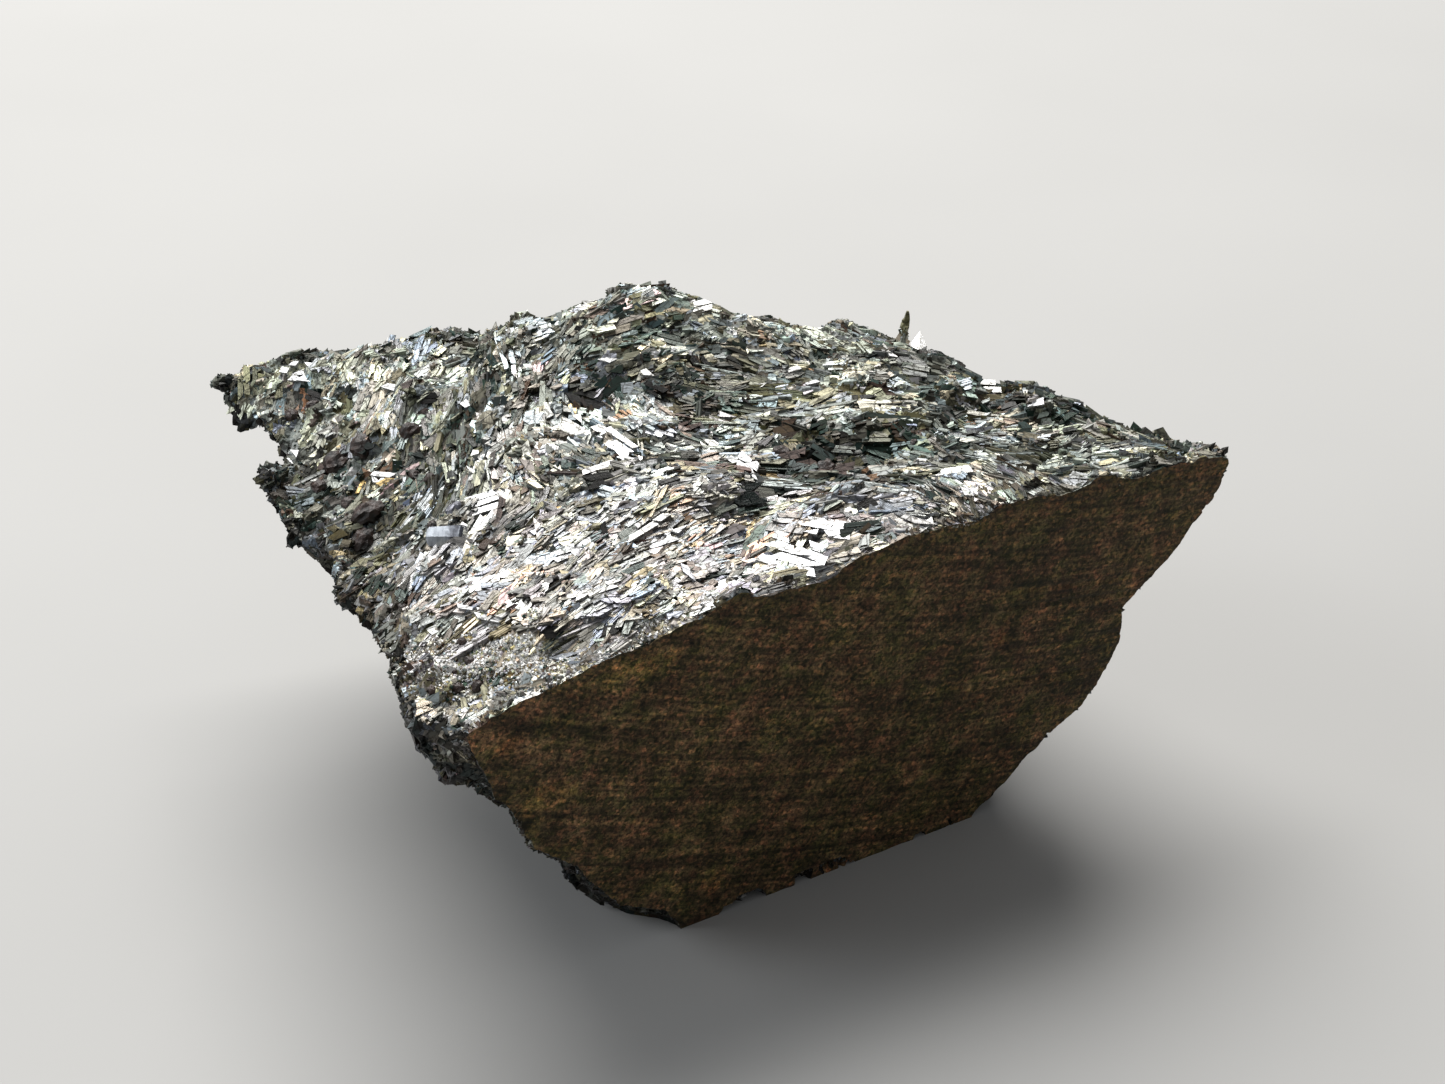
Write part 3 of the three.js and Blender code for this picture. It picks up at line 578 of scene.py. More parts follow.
def foot_cutter():
    """A block below the plane that the stone stands on."""
    size = 30.0
    corners = [(x, y, z) for x in (-size, size) for y in (-size, size) for z in (-6.0, 0.0)]
    faces = [(0, 1, 3, 2), (4, 6, 7, 5), (0, 4, 5, 1), (2, 3, 7, 6), (0, 2, 6, 4), (1, 5, 7, 3)]
    return object_of("foot_cutter", corners, faces)


def cut(body, cutter):
    modify(body, "BOOLEAN", operation="DIFFERENCE", solver="MANIFOLD", object=cutter)
    discard(cutter)


def make_body(source):
    """The stone's body, in millimetres, and its splinters."""
    body = remeshed(source, "stone_body", BODY_VOXEL)
    points = read(body.data.vertices, "co")
    normals = read(body.data.vertices, "normal")
    distance = saw_distance(points)
    height = points[:, 2]
    on_cut = smooth((distance + FLAT_DEPTH) / EDGE_FADE) * smooth((normals @ saw_normal - 0.4) / 0.3)
    on_foot = smooth((FLAT_DEPTH - height) / EDGE_FADE) * smooth((-normals[:, 2] - 0.4) / 0.3)
    by_rim = 1 - 0.35 * smooth((distance + 1.0) / EDGE_FADE)
    shards = Shards(points, normals)
    shift = shards.shift(points) * (1 - on_cut) * (1 - on_foot) * by_rim
    points = points + shift[:, None] * normals
    near_cut = smooth((distance + 1.8) / 1.5)
    for x, y, radius, lift in EDGE_LIFTS:
        share = np.exp(-(away_from(points, x, y) / radius) ** 2)
        points[:, 2] += lift * share * above(points, 12.6, 1.2) * near_cut
    chip = chipped(points, distance)
    out = 0.6 * smooth((distance + 0.3) / 0.3) * (1 - chip) - EDGE_CHIP_DEPTH * chip
    down = 0.5 * smooth((0.22 - height) / 0.2) * (1 - chip) - EDGE_CHIP_DEPTH * chip
    points += saw_normal * out[:, None]
    points[:, 2] -= down
    set_points(body.data, points)
    cut(body, saw_cutter())
    cut(body, foot_cutter())
    return body, shards


def on_saw_cut(middles, normals):
    """Whether faces belong to the saw cut."""
    return (saw_distance(middles) > -0.14) & (normals @ saw_normal > 0.7)


class Skin:
    """The body's surface."""

    def __init__(self, fine_mesh, smooth_mesh):
        points, triangles = mesh_arrays(fine_mesh)
        self.corners = points[triangles]
        cross = np.cross(self.corners[:, 1] - self.corners[:, 0], self.corners[:, 2] - self.corners[:, 0])
        self.middle = self.corners.mean(axis=1)
        x, y, low, radius = SPIKE_GAP
        on_spike = (away_from(self.middle, x, y) < radius) & (self.middle[:, 2] > low)
        broken = ~on_saw_cut(self.middle, unit(cross)) & ~on_spike & (self.middle[:, 2] > 0.3)
        self.area = np.linalg.norm(cross, axis=1) * broken
        self.fine = tree_of(fine_mesh)
        self.smooth = tree_of(smooth_mesh)

    def sample(self, count, weight):
        """Random places on broken rock, with smooth outward normals."""
        chance = self.area * weight(self.middle)
        picks = rng.choice(len(chance), size=count, p=chance / chance.sum())
        root = np.sqrt(rng.random(count))[:, None]
        share = rng.random(count)[:, None]
        a, b, c = (self.corners[picks, k] for k in range(3))
        points = a * (1 - root) + b * root * (1 - share) + c * root * share
        return points, self.normals(points)

    def below(self, places):
        """The points of the top at places given as x and y, with smooth normals."""
        down = Vector((0, 0, -1))
        points = np.array([self.fine.ray_cast(Vector((x, y, 40.0)), down)[0] for x, y in places])
        return points, self.normals(points)

    def normals(self, points):
        return np.array([self.smooth.find_nearest(Vector(p))[1] for p in points])

    def depth(self, points):
        """How deep each point lies in the rock, below 0 where it is outside."""
        found = []
        for point in map(Vector, points):
            nearest, normal, _, away = self.fine.find_nearest(point)
            found.append(away if (nearest - point).dot(normal) > 0 else -away)
        return np.array(found)

    def height(self, points, normals, reach=1.2):
        """How far out along each normal the surface lies from each point. Where there is none, -reach."""
        found = []
        for point, normal in zip(points, normals):
            hit = self.fine.ray_cast(Vector(point + reach * normal), Vector(-normal), 2 * reach)
            found.append(-reach if hit[0] is None else reach - hit[3])
        return np.array(found)


# ---------------- crystals

# One lath: corners as shares of its half length, half width and depth. A keel lies under its flat face.
LATH_CORNERS = np.array([(-1, -1, 0), (1, -1, 0), (1, 1, 0), (-1, 1, 0), (-0.85, 0, -1), (0.85, 0, -1)])
LATH_TRIANGLES = ((0, 1, 2), (0, 2, 3), (0, 4, 5), (0, 5, 1), (2, 5, 4), (2, 4, 3), (0, 3, 4), (2, 1, 5))
START, END = (0, 3, 4), (1, 2, 5)

# One grain: a blunt octahedron.
GRAIN_CORNERS = np.array([(1, 0, 0), (-1, 0, 0), (0, 1, 0), (0, -1, 0), (0, 0, 1), (0, 0, -1)], float)
GRAIN_TRIANGLES = ((0, 2, 4), (2, 1, 4), (1, 3, 4), (3, 0, 4), (2, 0, 5), (1, 2, 5), (3, 1, 5), (0, 3, 5))


class Pile:
    """Many small closed shapes of one kind, to be joined in one mesh."""

    def __init__(self, skin, triangles, keel):
        """keel names the corners whose middle has to lie in the rock."""
        self.skin = skin
        self.triangles = np.array(triangles)
        self.keel = keel
        self.parts = []

    def add(self, corners, lie, tint, sheen):
        """Adds a shape for each row. What crosses the saw cut or the box is drawn back in."""
        beyond = saw_distance(corners).max(axis=1) + 0.03
        corners = corners - np.clip(beyond, 0, None)[:, None, None] * saw_normal
        corners = corners - np.clip((corners - box_high - BOX_SLACK).max(axis=1), 0, None)[:, None]
        corners = corners + np.clip((box_low - BOX_SLACK - corners).max(axis=1), 0, None)[:, None]
        keep = (beyond < 0.45) & (corners[..., 2].min(axis=1) > 0.08)
        keep &= self.skin.depth(corners[:, self.keel].mean(axis=1)) > -0.02
        size = corners.shape[1]
        tint, sheen = np.repeat(tint[keep], size, axis=0), np.repeat(sheen[keep], size)
        self.parts.append((corners[keep].reshape(-1, 3) * MM, tint, lie[keep].reshape(-1, 3), sheen))

    def make(self, name):
        points, *looks = (np.concatenate(part) for part in zip(*self.parts))
        first = np.arange(0, len(points), self.triangles.max() + 1)
        faces = (self.triangles + first[:, None, None]).reshape(-1, 3)
        mesh = bpy.data.meshes.new(name)
        mesh.vertices.add(len(points))
        mesh.vertices.foreach_set("co", points.ravel())
        mesh.loops.add(faces.size)
        mesh.loops.foreach_set("vertex_index", faces.ravel().astype(np.int32))
        mesh.polygons.add(len(faces))
        mesh.polygons.foreach_set("loop_start", np.arange(0, faces.size, 3, dtype=np.int32))
        mesh.update(calc_edges=True)
        mesh.shade_flat()
        add_looks(mesh, "POINT", *looks)
        return add_object(name, mesh)


def tilted(run, out, roll, pitch):
    """Axes rolled about the length and then pitched end over end."""
    side = np.cross(out, run)
    roll, pitch = roll[:, None], pitch[:, None]
    rolled = np.cos(roll) * out + np.sin(roll) * side
    pitched = np.cos(pitch) * run + np.sin(pitch) * rolled
    return unit(pitched), unit(np.cos(pitch) * rolled - np.sin(pitch) * run)


def lean(out, lie, share):
    """Turns outward directions towards a lie, by a share for each."""
    return unit(out * (1 - share)[:, None] + lie * share[:, None])


def apart(count):
    """Random offsets, so that no two things show the same pattern."""
    return rng.random((count, 3)) * 50


# Kinds of crystal. Sizes are in millimetres and spreads in radians, but a broken piece's length is in widths.
Kind = namedtuple("Kind", "laths length width turn piece roll pitch step lift")
BOLD = Kind((2, 6), (0.8, 2.4), (0.12, 0.32), 0.4, 4.6, 0.22, 0.12, 0.02, 0.03)
FINE = Kind((2, 5), (0.4, 1.4), (0.08, 0.16), 0.5, 5.0, 0.28, 0.18, 0.03, 0.02)
CHIP = Kind((1, 3), (0.2, 0.6), (0.09, 0.22), 0.9, 3.0, 0.4, 0.3, 0.05, 0.0)
FIBRE = Kind((4, 9), (1.2, 3.2), (0.06, 0.11), 0.16, 13.0, 0.2, 0.06, 0.02, 0.06)
PLATE = Kind((1, 4), (0.8, 2.2), (0.22, 0.42), 0.4, 2.8, 0.1, 0.07, 0.02, 0.06)
BROAD = PLATE._replace(piece=2.6, roll=0.05, pitch=0.04, step=0.018, lift=0.18)
MOST_PIECES = 4
OVERHANG = 0.22


def reach(skin, middle, run, out, half):
    """How far each piece reaches before it would hang over an edge."""
    share = np.full(len(middle), 0.12)
    waiting = np.arange(len(middle))
    for trial in (1.0, 0.72, 0.5, 0.3):
        ends = middle[waiting] + run[waiting] * (trial * half[waiting])[:, None]
        held = skin.height(ends, out[waiting], 0.6) > -OVERHANG
        share[waiting[held]] = trial
        waiting = waiting[~held]
    return share * half


def counted(many):
    """For groups of so many things each: every thing's group, and its number there."""
    group = np.repeat(np.arange(len(many)), many)
    return group, np.arange(len(group)) - np.repeat(np.cumsum(many) - many, many)


def broken_laths(kind, many, long, wide):
    """Rows of laths, each broken across: every piece's crystal, place across the row, start and end."""
    crystal, number = counted(many)
    count = len(crystal)
    long, wide = long[crystal], wide[crystal]
    across = (number - (many[crystal] - 1) / 2 + rng.normal(size=count) * 0.1) * wide
    low = -long * (0.25 + 0.3 * rng.random(count))
    span = long * (0.25 + 0.3 * rng.random(count)) - low
    usual = span / (kind.piece * wide) * (0.6 + 0.8 * rng.random(count))
    pieces = np.clip(np.round(usual), 1, MOST_PIECES).astype(int)
    lath, number = counted(pieces)
    wobble = (rng.random((count, MOST_PIECES + 1)) - 0.5) * 0.7
    wobble[:, 0] = 0
    wobble[np.arange(count), pieces] = 0
    breaks = ((number + k + wobble[lath, number + k]) / pieces[lath] for k in (0, 1))
    start, end = (low[lath] + span[lath] * share for share in breaks)
    return crystal[lath], across[lath], start, end


def lath_shapes(behind, ahead, half, breadth):
    """Laths along X with slanting and tapering ends."""
    total = len(half)
    local = np.repeat(LATH_CORNERS[None], total, axis=0)
    slant = rng.normal(size=(total, 2)) * 0.7 * breadth[:, None]
    taper = (1 - 0.5 * rng.random((total, 2)) ** 3) * breadth[:, None]
    for k, end, far in ((0, START, behind), (1, END, ahead)):
        local[:, end, 0] *= far[:, None]
        local[:, end, 0] += slant[:, k:k + 1] * np.sign(local[:, end, 1])
        local[:, end, 1] *= taper[:, k:k + 1]
    local[..., 2] *= (0.2 + 0.1 * half + 0.4 * breadth)[:, None]
    local[:, :4, :2] += rng.normal(size=(total, 4, 2)) * 0.12 * breadth[:, None, None]
    return local


def grow(pile, kind, centre, out, run, many, long, wide, chosen=None):
    """Adds crystals. Each is a row of many laths, wide apart and about long, that share one flat face."""
    count = len(centre)
    zones = zones_at(centre, out)
    calm = 1 - 0.25 * zones.gleaming
    roll = rng.normal(size=count) * kind.roll * calm
    run, lie = tilted(run, out, roll, rng.normal(size=count) * kind.pitch * calm)
    owner, across, start, end = broken_laths(kind, many, long, wide)
    total = len(owner)
    along = (start + end) / 2
    middle = centre[owner] + np.cross(lie, run)[owner] * across[:, None] + run[owner] * along[:, None]
    height = pile.skin.height(middle, lie[owner]).clip(-0.3, 0.4)
    level = np.bincount(owner, height, count) / np.bincount(owner, minlength=count) + kind.lift
    step = np.abs(rng.normal(size=total)) * kind.step
    middle += lie[owner] * (level[owner] - step)[:, None]
    twist = rng.normal(size=(2, total)) * np.array((1.8, 1.2))[:, None] * kind.step
    piece_run, piece_lie = tilted(run[owner], lie[owner], *twist)
    half = (end - start) / 2 * 0.97
    ahead = reach(pile.skin, middle, piece_run, piece_lie, half)
    behind = reach(pile.skin, middle, -piece_run, piece_lie, half)
    local = lath_shapes(behind, ahead, half, wide[owner] * (0.42 + 0.12 * rng.random(total)))
    corners = middle[:, None]
    for k, axis in enumerate((piece_run, np.cross(piece_lie, piece_run), piece_lie)):
        corners = corners + local[..., k:k + 1] * axis[:, None]
    tint, sheen = tints(zones)
    piece_tint, _ = tints(zones[owner])
    mixed = 0.85 * tint[owner] + 0.15 * piece_tint if chosen is None else chosen[owner]
    mixed = mixed * np.exp(rng.normal(size=(total, 1)) * 0.2)
    local[..., 0] += along[:, None]
    local[..., 1] += across[:, None]
    pile.add(corners, local + apart(count)[owner][:, None], mixed, sheen[owner])


def scatter(pile, kind, count, weight, clean=0.35):
    """Crystals at random places. clean is how far they lean to the cleavage where the rock gleams."""
    centre, out = pile.skin.sample(count, weight)
    zones = zones_at(centre, out)
    out = lean(out, CLEAVAGE, clean * zones.gleaming + 0.15 * zones.sandy)
    out = lean(out, SHADE_LIE, 0.35 * zones.shaded)
    run = grain_run(centre, out, rng.normal(size=count) * kind.turn)
    many = rng.integers(kind.laths[0], kind.laths[1] + 1, count)
    long = between(kind.length, rng.random(count) ** 1.5)
    wide = between(kind.width, rng.random(count))
    grow(pile, kind, centre, out, run, many, long, wide)


def place_faces(pile, rows, colours, lie, share):
    """Single broad faces, each in one of the colours and leaning by a share towards a lie."""
    rows = np.array(rows)
    centre, out = pile.skin.below(rows[:, :2])
    out = lean(out, lie, np.full(len(rows), share))
    run = square_to(out, headings(np.radians(rows[:, 2])))
    many = np.ceil(rows[:, 4] / BROAD.width[1]).astype(int)
    chosen = colours[rng.integers(0, len(colours), len(rows))]
    grow(pile, BROAD, centre, out, run, many, rows[:, 3], rows[:, 4] / many, chosen)


def random_turns(count):
    """So many random rotation matrices."""
    first = unit(rng.normal(size=(count, 3)))
    second = square_to(first, rng.normal(size=(count, 3)))
    return np.stack([first, second, np.cross(first, second)], axis=2)


def add_grains(pile, count, sizes, weight, tone=0.85):
    """Angular grains, half sunk in the surface. tone makes them paler or darker."""
    centre, out = pile.skin.sample(count, weight)
    zones = zones_at(centre, out)
    size = between(sizes, rng.random(count) ** 2)
    local = np.repeat(GRAIN_CORNERS[None], count, axis=0) * (0.55 + 0.45 * rng.random((count, 6, 1)))
    local *= size[:, None, None] / 2 * (0.6 + 0.5 * rng.random((count, 1, 3)))
    turned = np.einsum("nij,nkj->nki", random_turns(count), local)
    corners = turned + (centre + out * (0.1 * size)[:, None])[:, None]
    tint, sheen = tints(zones)
    tint = tint * np.exp(rng.normal(size=(count, 1)) * 0.3) * tone
    pile.add(corners, local + apart(count)[:, None], tint, sheen + 0.12)


def place_sparkle(pile):
    """The grain beside the spike: a kite that leans back, on a deep root, tinted white as partly painted
    highlight.
    """
    x, y, size = SPARKLE
    centre, _ = pile.skin.below([(x, y)])
    local = (GRAIN_CORNERS * (0.27, 0.3, 0.0) + (0, 0, 0.3))[None] * size
    local[:, 4] = np.array((0.08, 0.55, 0.52)) * size
    local[:, 5, 2] = -2.4 * size
    pile.add(local + centre, local + apart(1), np.full((1, 3), TINT_LIMITS[1]), np.array([0.25]))


# ---------------- materials


def make_material(name, dress):
    """Makes a material whose shader is set up by a function."""
    material = bpy.data.materials.new(name)
    material.use_nodes = True
    tree = material.node_tree
    tree.nodes.clear()
    output = tree.nodes.new("ShaderNodeOutputMaterial")
    shader = tree.nodes.new("ShaderNodeBsdfPrincipled")
    tree.links.new(shader.outputs["BSDF"], output.inputs["Surface"])
    dress(shader)
    return material


def plug(made, inputs):
    """Fills a node's inputs. Each is a value, or a socket to link."""
    for key, value in inputs.items():
        if isinstance(value, bpy.types.NodeSocket):
            made.id_data.links.new(value, made.inputs[key])
        else:
            made.inputs[key].default_value = value


def node(beside, kind, inputs=(), **settings):
    """Adds a shader node to the tree that a node or socket is in."""
    made = beside.id_data.nodes.new("ShaderNode" + kind)
    for key, value in settings.items():
        setattr(made, key, value)
    plug(made, dict(inputs))
    return made


def rgba(colour):
    """A colour, or a grey given as one number, with full alpha."""
    return (*colour, 1) if isinstance(colour, tuple) else (colour, colour, colour, 1)


def ramp(factor, *stops):
    """A colour ramp. Each stop is a position and a colour."""
    made = node(factor, "ValToRGB", {"Fac": factor})
    elements = made.color_ramp.elements
    for element, (position, colour) in ((elements[0], stops[0]), (elements[1], stops[-1])):
        element.position, element.color = position, rgba(colour)
    for position, colour in stops[1:-1]:
        elements.new(position).color = rgba(colour)
    return made.outputs["Color"]


def mapped(vector, scale, rotation=(0, 0, 0)):
    inputs = {"Vector": vector, "Scale": scale, "Rotation": rotation}
    return node(vector, "Mapping", inputs).outputs["Vector"]


def noise(vector, scale, detail=4.0, roughness=0.55):
    inputs = {"Vector": vector, "Scale": scale, "Detail": detail, "Roughness": roughness}
    return node(vector, "TexNoise", inputs).outputs["Fac"]


def maths(operation, first, second):
    return node(first, "Math", {0: first, 1: second}, operation=operation).outputs[0]


def vector_maths(operation, first, second=(0, 0, 0)):
    made = node(first, "VectorMath", {0: first, 1: second}, operation=operation)
    return made.outputs["Vector" if operation in ("ADD", "SUBTRACT") else "Value"]


def remap(factor, start, end, low=0.0, high=1.0):
    """Runs from low to high as a factor runs from start to end."""
    return node(factor, "MapRange", {0: factor, 1: start, 2: end, 3: low, 4: high}).outputs[0]


def along_x(place, start, end):
    return remap(node(place, "SeparateXYZ", {0: place}).outputs[0], start, end)


def multiply(first, second, share=1.0):
    inputs = {0: share, 6: first, 7: second}
    return node(first, "Mix", inputs, data_type="RGBA", blend_type="MULTIPLY").outputs[2]


def paint(shader, colour, roughness, relief, strength, distance):
    inputs = {"Height": relief, "Strength": strength, "Distance": distance * MM}
    bump = node(relief, "Bump", inputs)
    plug(shader, {"Base Color": colour, "Roughness": roughness, "Normal": bump.outputs["Normal"]})


def object_millimetres(shader):
    coordinates = node(shader, "TexCoord")
    return mapped(coordinates.outputs["Object"], (1 / MM, 1 / MM, 1 / MM))


def saw_places(place):
    """Coordinates along the saw's stroke and out from the middle of its arcs."""
    stroke, climb = saw_axes()
    offset = vector_maths("SUBTRACT", place, tuple(saw_point + SAW_RADIUS * climb))
    along = vector_maths("DOT_PRODUCT", offset, tuple(stroke))
    return node(place, "CombineXYZ", {0: along, 1: vector_maths("LENGTH", offset)}).outputs[0]


def spots(place, rows):
    """A factor that is 1 at the middle of each ragged spot and 0 away from them."""
    ragged = node(place, "TexNoise", {"Vector": place, "Scale": 2.2, "Detail": 3.0})
    moved = vector_maths("ADD", ragged.outputs["Color"], place)
    total = None
    for x, y, z, radius in rows:
        away = vector_maths("DISTANCE", moved, (x + 0.5, y + 0.5, z + 0.5))
        near = remap(away, radius, 0.3 * radius)
        total = near if total is None else maths("MAXIMUM", total, near)
    return total


def sawn_look(shader):
    """Matte brown, mottled and grainy, with fine lines along the saw's stroke, and painted shade that darkens
    it towards +X.
    """
    place = object_millimetres(shader)
    flat = saw_places(place)
    lines = noise(mapped(flat, (0.11, 3.1, 1.0)), 1.0, 3.0, 0.65)
    dashes = noise(mapped(flat, (3.6, 6.0, 1.0)), 1.0, 3.0, 0.7)
    mottles = noise(place, 0.9, 6.0, 0.72)
    green = noise(mapped(place, (1, 1, 1), (1.0, 2.0, 0.5)), 0.8, 5.0, 0.7)
    grit = noise(place, 7.0, 4.0, 0.85)
    cells = node(place, "TexVoronoi", {"Vector": place, "Scale": 7.0}).outputs["Color"]
    dark, brown, pale = (0.042, 0.031, 0.0165), (0.083, 0.0605, 0.0315), (0.15, 0.108, 0.057)
    colour = ramp(mottles, (0.35, dark), (0.5, brown), (0.65, pale))
    colour = multiply(colour, ramp(green, (0.38, (0.8, 0.97, 0.74)), (0.5, 1.0), (0.62, (1.16, 0.95, 1.04))))
    colour = multiply(colour, ramp(spots(place, OCHRE_SPOTS), (0.0, 1.0), (1.0, (1.75, 1.55, 1.3))))
    colour = multiply(colour, ramp(spots(place, DARK_PITS), (0.0, 1.0), (1.0, (0.22, 0.22, 0.24))))
    grains = ((lines, 0.38, 0.6, 0.55), (dashes, 0.38, 0.64, 0.45), (grit, 0.4, 0.62, 1.0))
    for factor, low, high, share in grains:
        grain = ramp(factor, (low, (0.3, 0.31, 0.32)), (0.5, 1.0), (high, (1.8, 1.7, 1.55)))
        colour = multiply(colour, grain, share)
    specks = ramp(cells, (0.2, (0.4, 0.5, 0.38)), (0.42, 1.0), (0.62, 1.0), (0.85, (2.1, 1.6, 1.5)))
    colour = multiply(colour, specks, 0.9)
    # Painted shade: the cut gets darker towards +X.
    colour = multiply(colour, ramp(along_x(place, -8.0, 18.0), (0.0, 1.05), (1.0, (0.78, 0.78, 0.74))))
    relief = maths("ADD", maths("ADD", grit, dashes), lines)
    paint(shader, colour, remap(lines, 0.0, 1.0, 0.65, 0.9), relief, 0.45, 0.05)
    shader.inputs["Specular IOR Level"].default_value = 0.2


def crystal_look(shader):
    """Glossy, part metallic, streaked along each crystal and pitted in places."""
    lie = node(shader, "Attribute", attribute_name="lie").outputs["Vector"]
    tint = node(shader, "Attribute", attribute_name="tint").outputs["Color"]
    sheen = node(shader, "Attribute", attribute_name="sheen").outputs["Fac"]
    streaks = noise(mapped(lie, (1.2, 12.0, 2.0)), 1.0, 4.0, 0.65)
    pitted = noise(lie, 4.5, 5.0, 0.8)
    inputs = {"Vector": mapped(lie, (1.3, 2.8, 1.0)), "Scale": 1.0}
    edges = node(lie, "TexVoronoi", inputs, feature="DISTANCE_TO_EDGE").outputs["Distance"]
    cracks = ramp(edges, (0.0, (0.36, 0.35, 0.33)), (0.06, 1.0))
    lines = ramp(streaks, (0.36, (0.6, 0.59, 0.58)), (0.47, 0.94), (0.66, 1.15))
    holes = ramp(pitted, (0.36, (0.36, 0.33, 0.29)), (0.45, (0.92, 0.92, 0.9)), (0.64, 1.15))
    marks = multiply(multiply(lines, holes), cracks)
    roughness = maths("ADD", sheen, remap(marks, 0.2, 0.95, 0.45, 0.0))
    paint(shader, multiply(tint, marks), roughness, maths("ADD", streaks, pitted), 0.35, 0.03)
    shader.inputs["Metallic"].default_value = 0.4
    shader.inputs["IOR"].default_value = 1.5


def prism_look(shader):
    """Blue-grey and patchy, with painted highlight that whitens it by the left end."""
    place = object_millimetres(shader)
    bands = noise(mapped(place, (3.0, 1.6, 1.6)), 1.0, 4.0, 0.7)
    # Painted highlight: the colour is paler towards the prism's left end.
    left = along_x(place, PRISM[0] + 0.15, PRISM[0] - 0.1)
    shade = maths("ADD", maths("MULTIPLY", left, 0.35), maths("MULTIPLY", bands, 0.9))
    colour = ramp(shade, (0.36, (0.02, 0.022, 0.028)), (0.5, (0.09, 0.1, 0.125)), (0.85, (0.58, 0.63, 0.7)))
    paint(shader, colour, remap(noise(place, 4.0), 0.0, 1.0, 0.12, 0.3), bands, 0.3, 0.03)
    shader.inputs["Metallic"].default_value = 0.4
    shader.inputs["IOR"].default_value = 1.65


def garnet_look(shader):
    """Black and red-brown, dull and pitted."""
    place = object_millimetres(shader)
    colour = ramp(noise(place, 3.0), (0.35, (0.006, 0.004, 0.003)), (0.7, (0.042, 0.016, 0.009)))
    pitted = noise(place, 7.0, 5.0, 0.7)
    paint(shader, colour, remap(pitted, 0.0, 1.0, 0.25, 0.75), pitted, 0.6, 0.06)
    shader.inputs["IOR"].default_value = 1.6


def floor_look(shader):
    clouds = noise(object_millimetres(shader), 0.02, 3.0)
    colour = ramp(clouds, (0.3, (0.4, 0.397, 0.388)), (0.7, (0.43, 0.427, 0.418)))
    plug(shader, {"Base Color": colour, "Roughness": 0.75})


# ---------------- studio


def make_camera():
    data = bpy.data.cameras.new("camera")
    data.lens = CAMERA_LENS
    data.sensor_width = 36.0
    data.clip_start = 0.005
    data.clip_end = 20.0
    camera = add_object("camera", data)
    elevation = math.radians(CAMERA_ELEVATION)
    back = Vector((0, -math.cos(elevation), math.sin(elevation))) * CAMERA_DISTANCE * MM
    camera.location = Vector(CAMERA_TARGET) * MM + back
    camera.rotation_euler = (math.pi / 2 - elevation, 0, 0)
    bpy.context.scene.camera = camera


def make_light(name, place, size, power, colour):
    """A soft lamp aimed at the stone. place and size are in millimetres, power in watts."""
    data = bpy.data.lights.new(name, "AREA")
    data.shape = "RECTANGLE"
    data.size, data.size_y = size[0] * MM, size[1] * MM
    data.energy = power
    data.color = colour
    lamp = add_object(name, data)
    lamp.location = Vector(place) * MM
    toward = (Vector(LIGHT_AIM) - Vector(place)).normalized()
    lamp.rotation_euler = toward.to_track_quat("-Z", "Y").to_euler()


def make_studio():
    floor = object_of("studio_floor", [(-3, -3, 0), (3, -3, 0), (3, 3, 0), (-3, 3, 0)], [(0, 1, 2, 3)])
    floor.data.materials.append(make_material("studio_floor", floor_look))
    make_light("key", (-60, 230, 330), (420, 300), 3.0, (1.0, 0.985, 0.96))
    make_light("side", (-330, -60, 200), (160, 160), 0.45, (0.92, 0.96, 1.0))
    world = bpy.data.worlds.new("studio")
    world.use_nodes = True
    world.node_tree.nodes["Background"].inputs["Color"].default_value = (0.24, 0.245, 0.25, 1)
    bpy.context.scene.world = world
    bpy.context.scene.view_settings.view_transform = "Standard"


# ---------------- where things go


def rubble(points):
    """Where grains take the place of clean crystals."""
    return np.maximum(patches(points, SANDY), 0.8 * patches(points, SHADED))


def clear_of_faces(points):
    """0 on the broad faces and the garnets, which nothing covers, and 1 away from them."""
    share = np.ones(len(points))
    for x, y, angle, length, width in (*BRIGHT_FACES, *DARK_AND_SHADOW_FACES, PRISM_GAP):
        cos, sin = math.cos(math.radians(angle)), math.sin(math.radians(angle))
        along = (points[:, 0] - x) * cos + (points[:, 1] - y) * sin
        across = (points[:, 1] - y) * cos - (points[:, 0] - x) * sin
        away = np.maximum(np.abs(along) / (length / 2), np.abs(across) / (width / 2 + 0.1))
        share = np.minimum(share, smooth((away - 0.8) / 0.3))
    for x, y, size in GARNETS:
        share = np.minimum(share, smooth((away_from(points, x, y) / (size / 2) - 0.8) / 0.3))
    return np.where(points[:, 2] > 10.5, share, 1.0)


def gritty(points):
    """The corner of the top where pale grit takes the place of crystals."""
    return patches(points, SANDY) * smooth((-9.6 - points[:, 1]) / 1.4) * above(points, 12.0, 0.8)


def on_top(points):
    """More crystals on the top than on the flanks."""
    return (0.25 + above(points, 11.0, 3.0)) * clear_of_faces(points) * (1 - 0.93 * gritty(points))


def on_clean_top(points):
    return on_top(points) * (1 - 0.9 * rubble(points))


def on_mixed_top(points):
    return on_top(points) * (1 - 0.5 * rubble(points)) * (1 - 0.6 * patches(points, GLEAMING))


def on_gleaming(points):
    return patches(points, GLEAMING) * on_top(points)


def on_fibrous(points):
    return patches(points, FIBROUS) * above(points, 11.5, 1.5) * (1 - 0.5 * rubble(points))


def on_rim(points):
    """The strip beside the saw cut."""
    return np.exp(-((saw_distance(points) + 0.1) / 0.35) ** 2)


def on_flanks(points):
    return 1.2 - above(points, 11.5, 2.5)


def on_rubble(points):
    """Most in the sandy and shaded patches and on the flanks."""
    low = 1 - above(points, 11.0, 2.0)
    return (0.18 + np.maximum(rubble(points), 0.7 * low)) * clear_of_faces(points)


def on_gritty(points):
    return gritty(points) * clear_of_faces(points)


# ---------------- stone


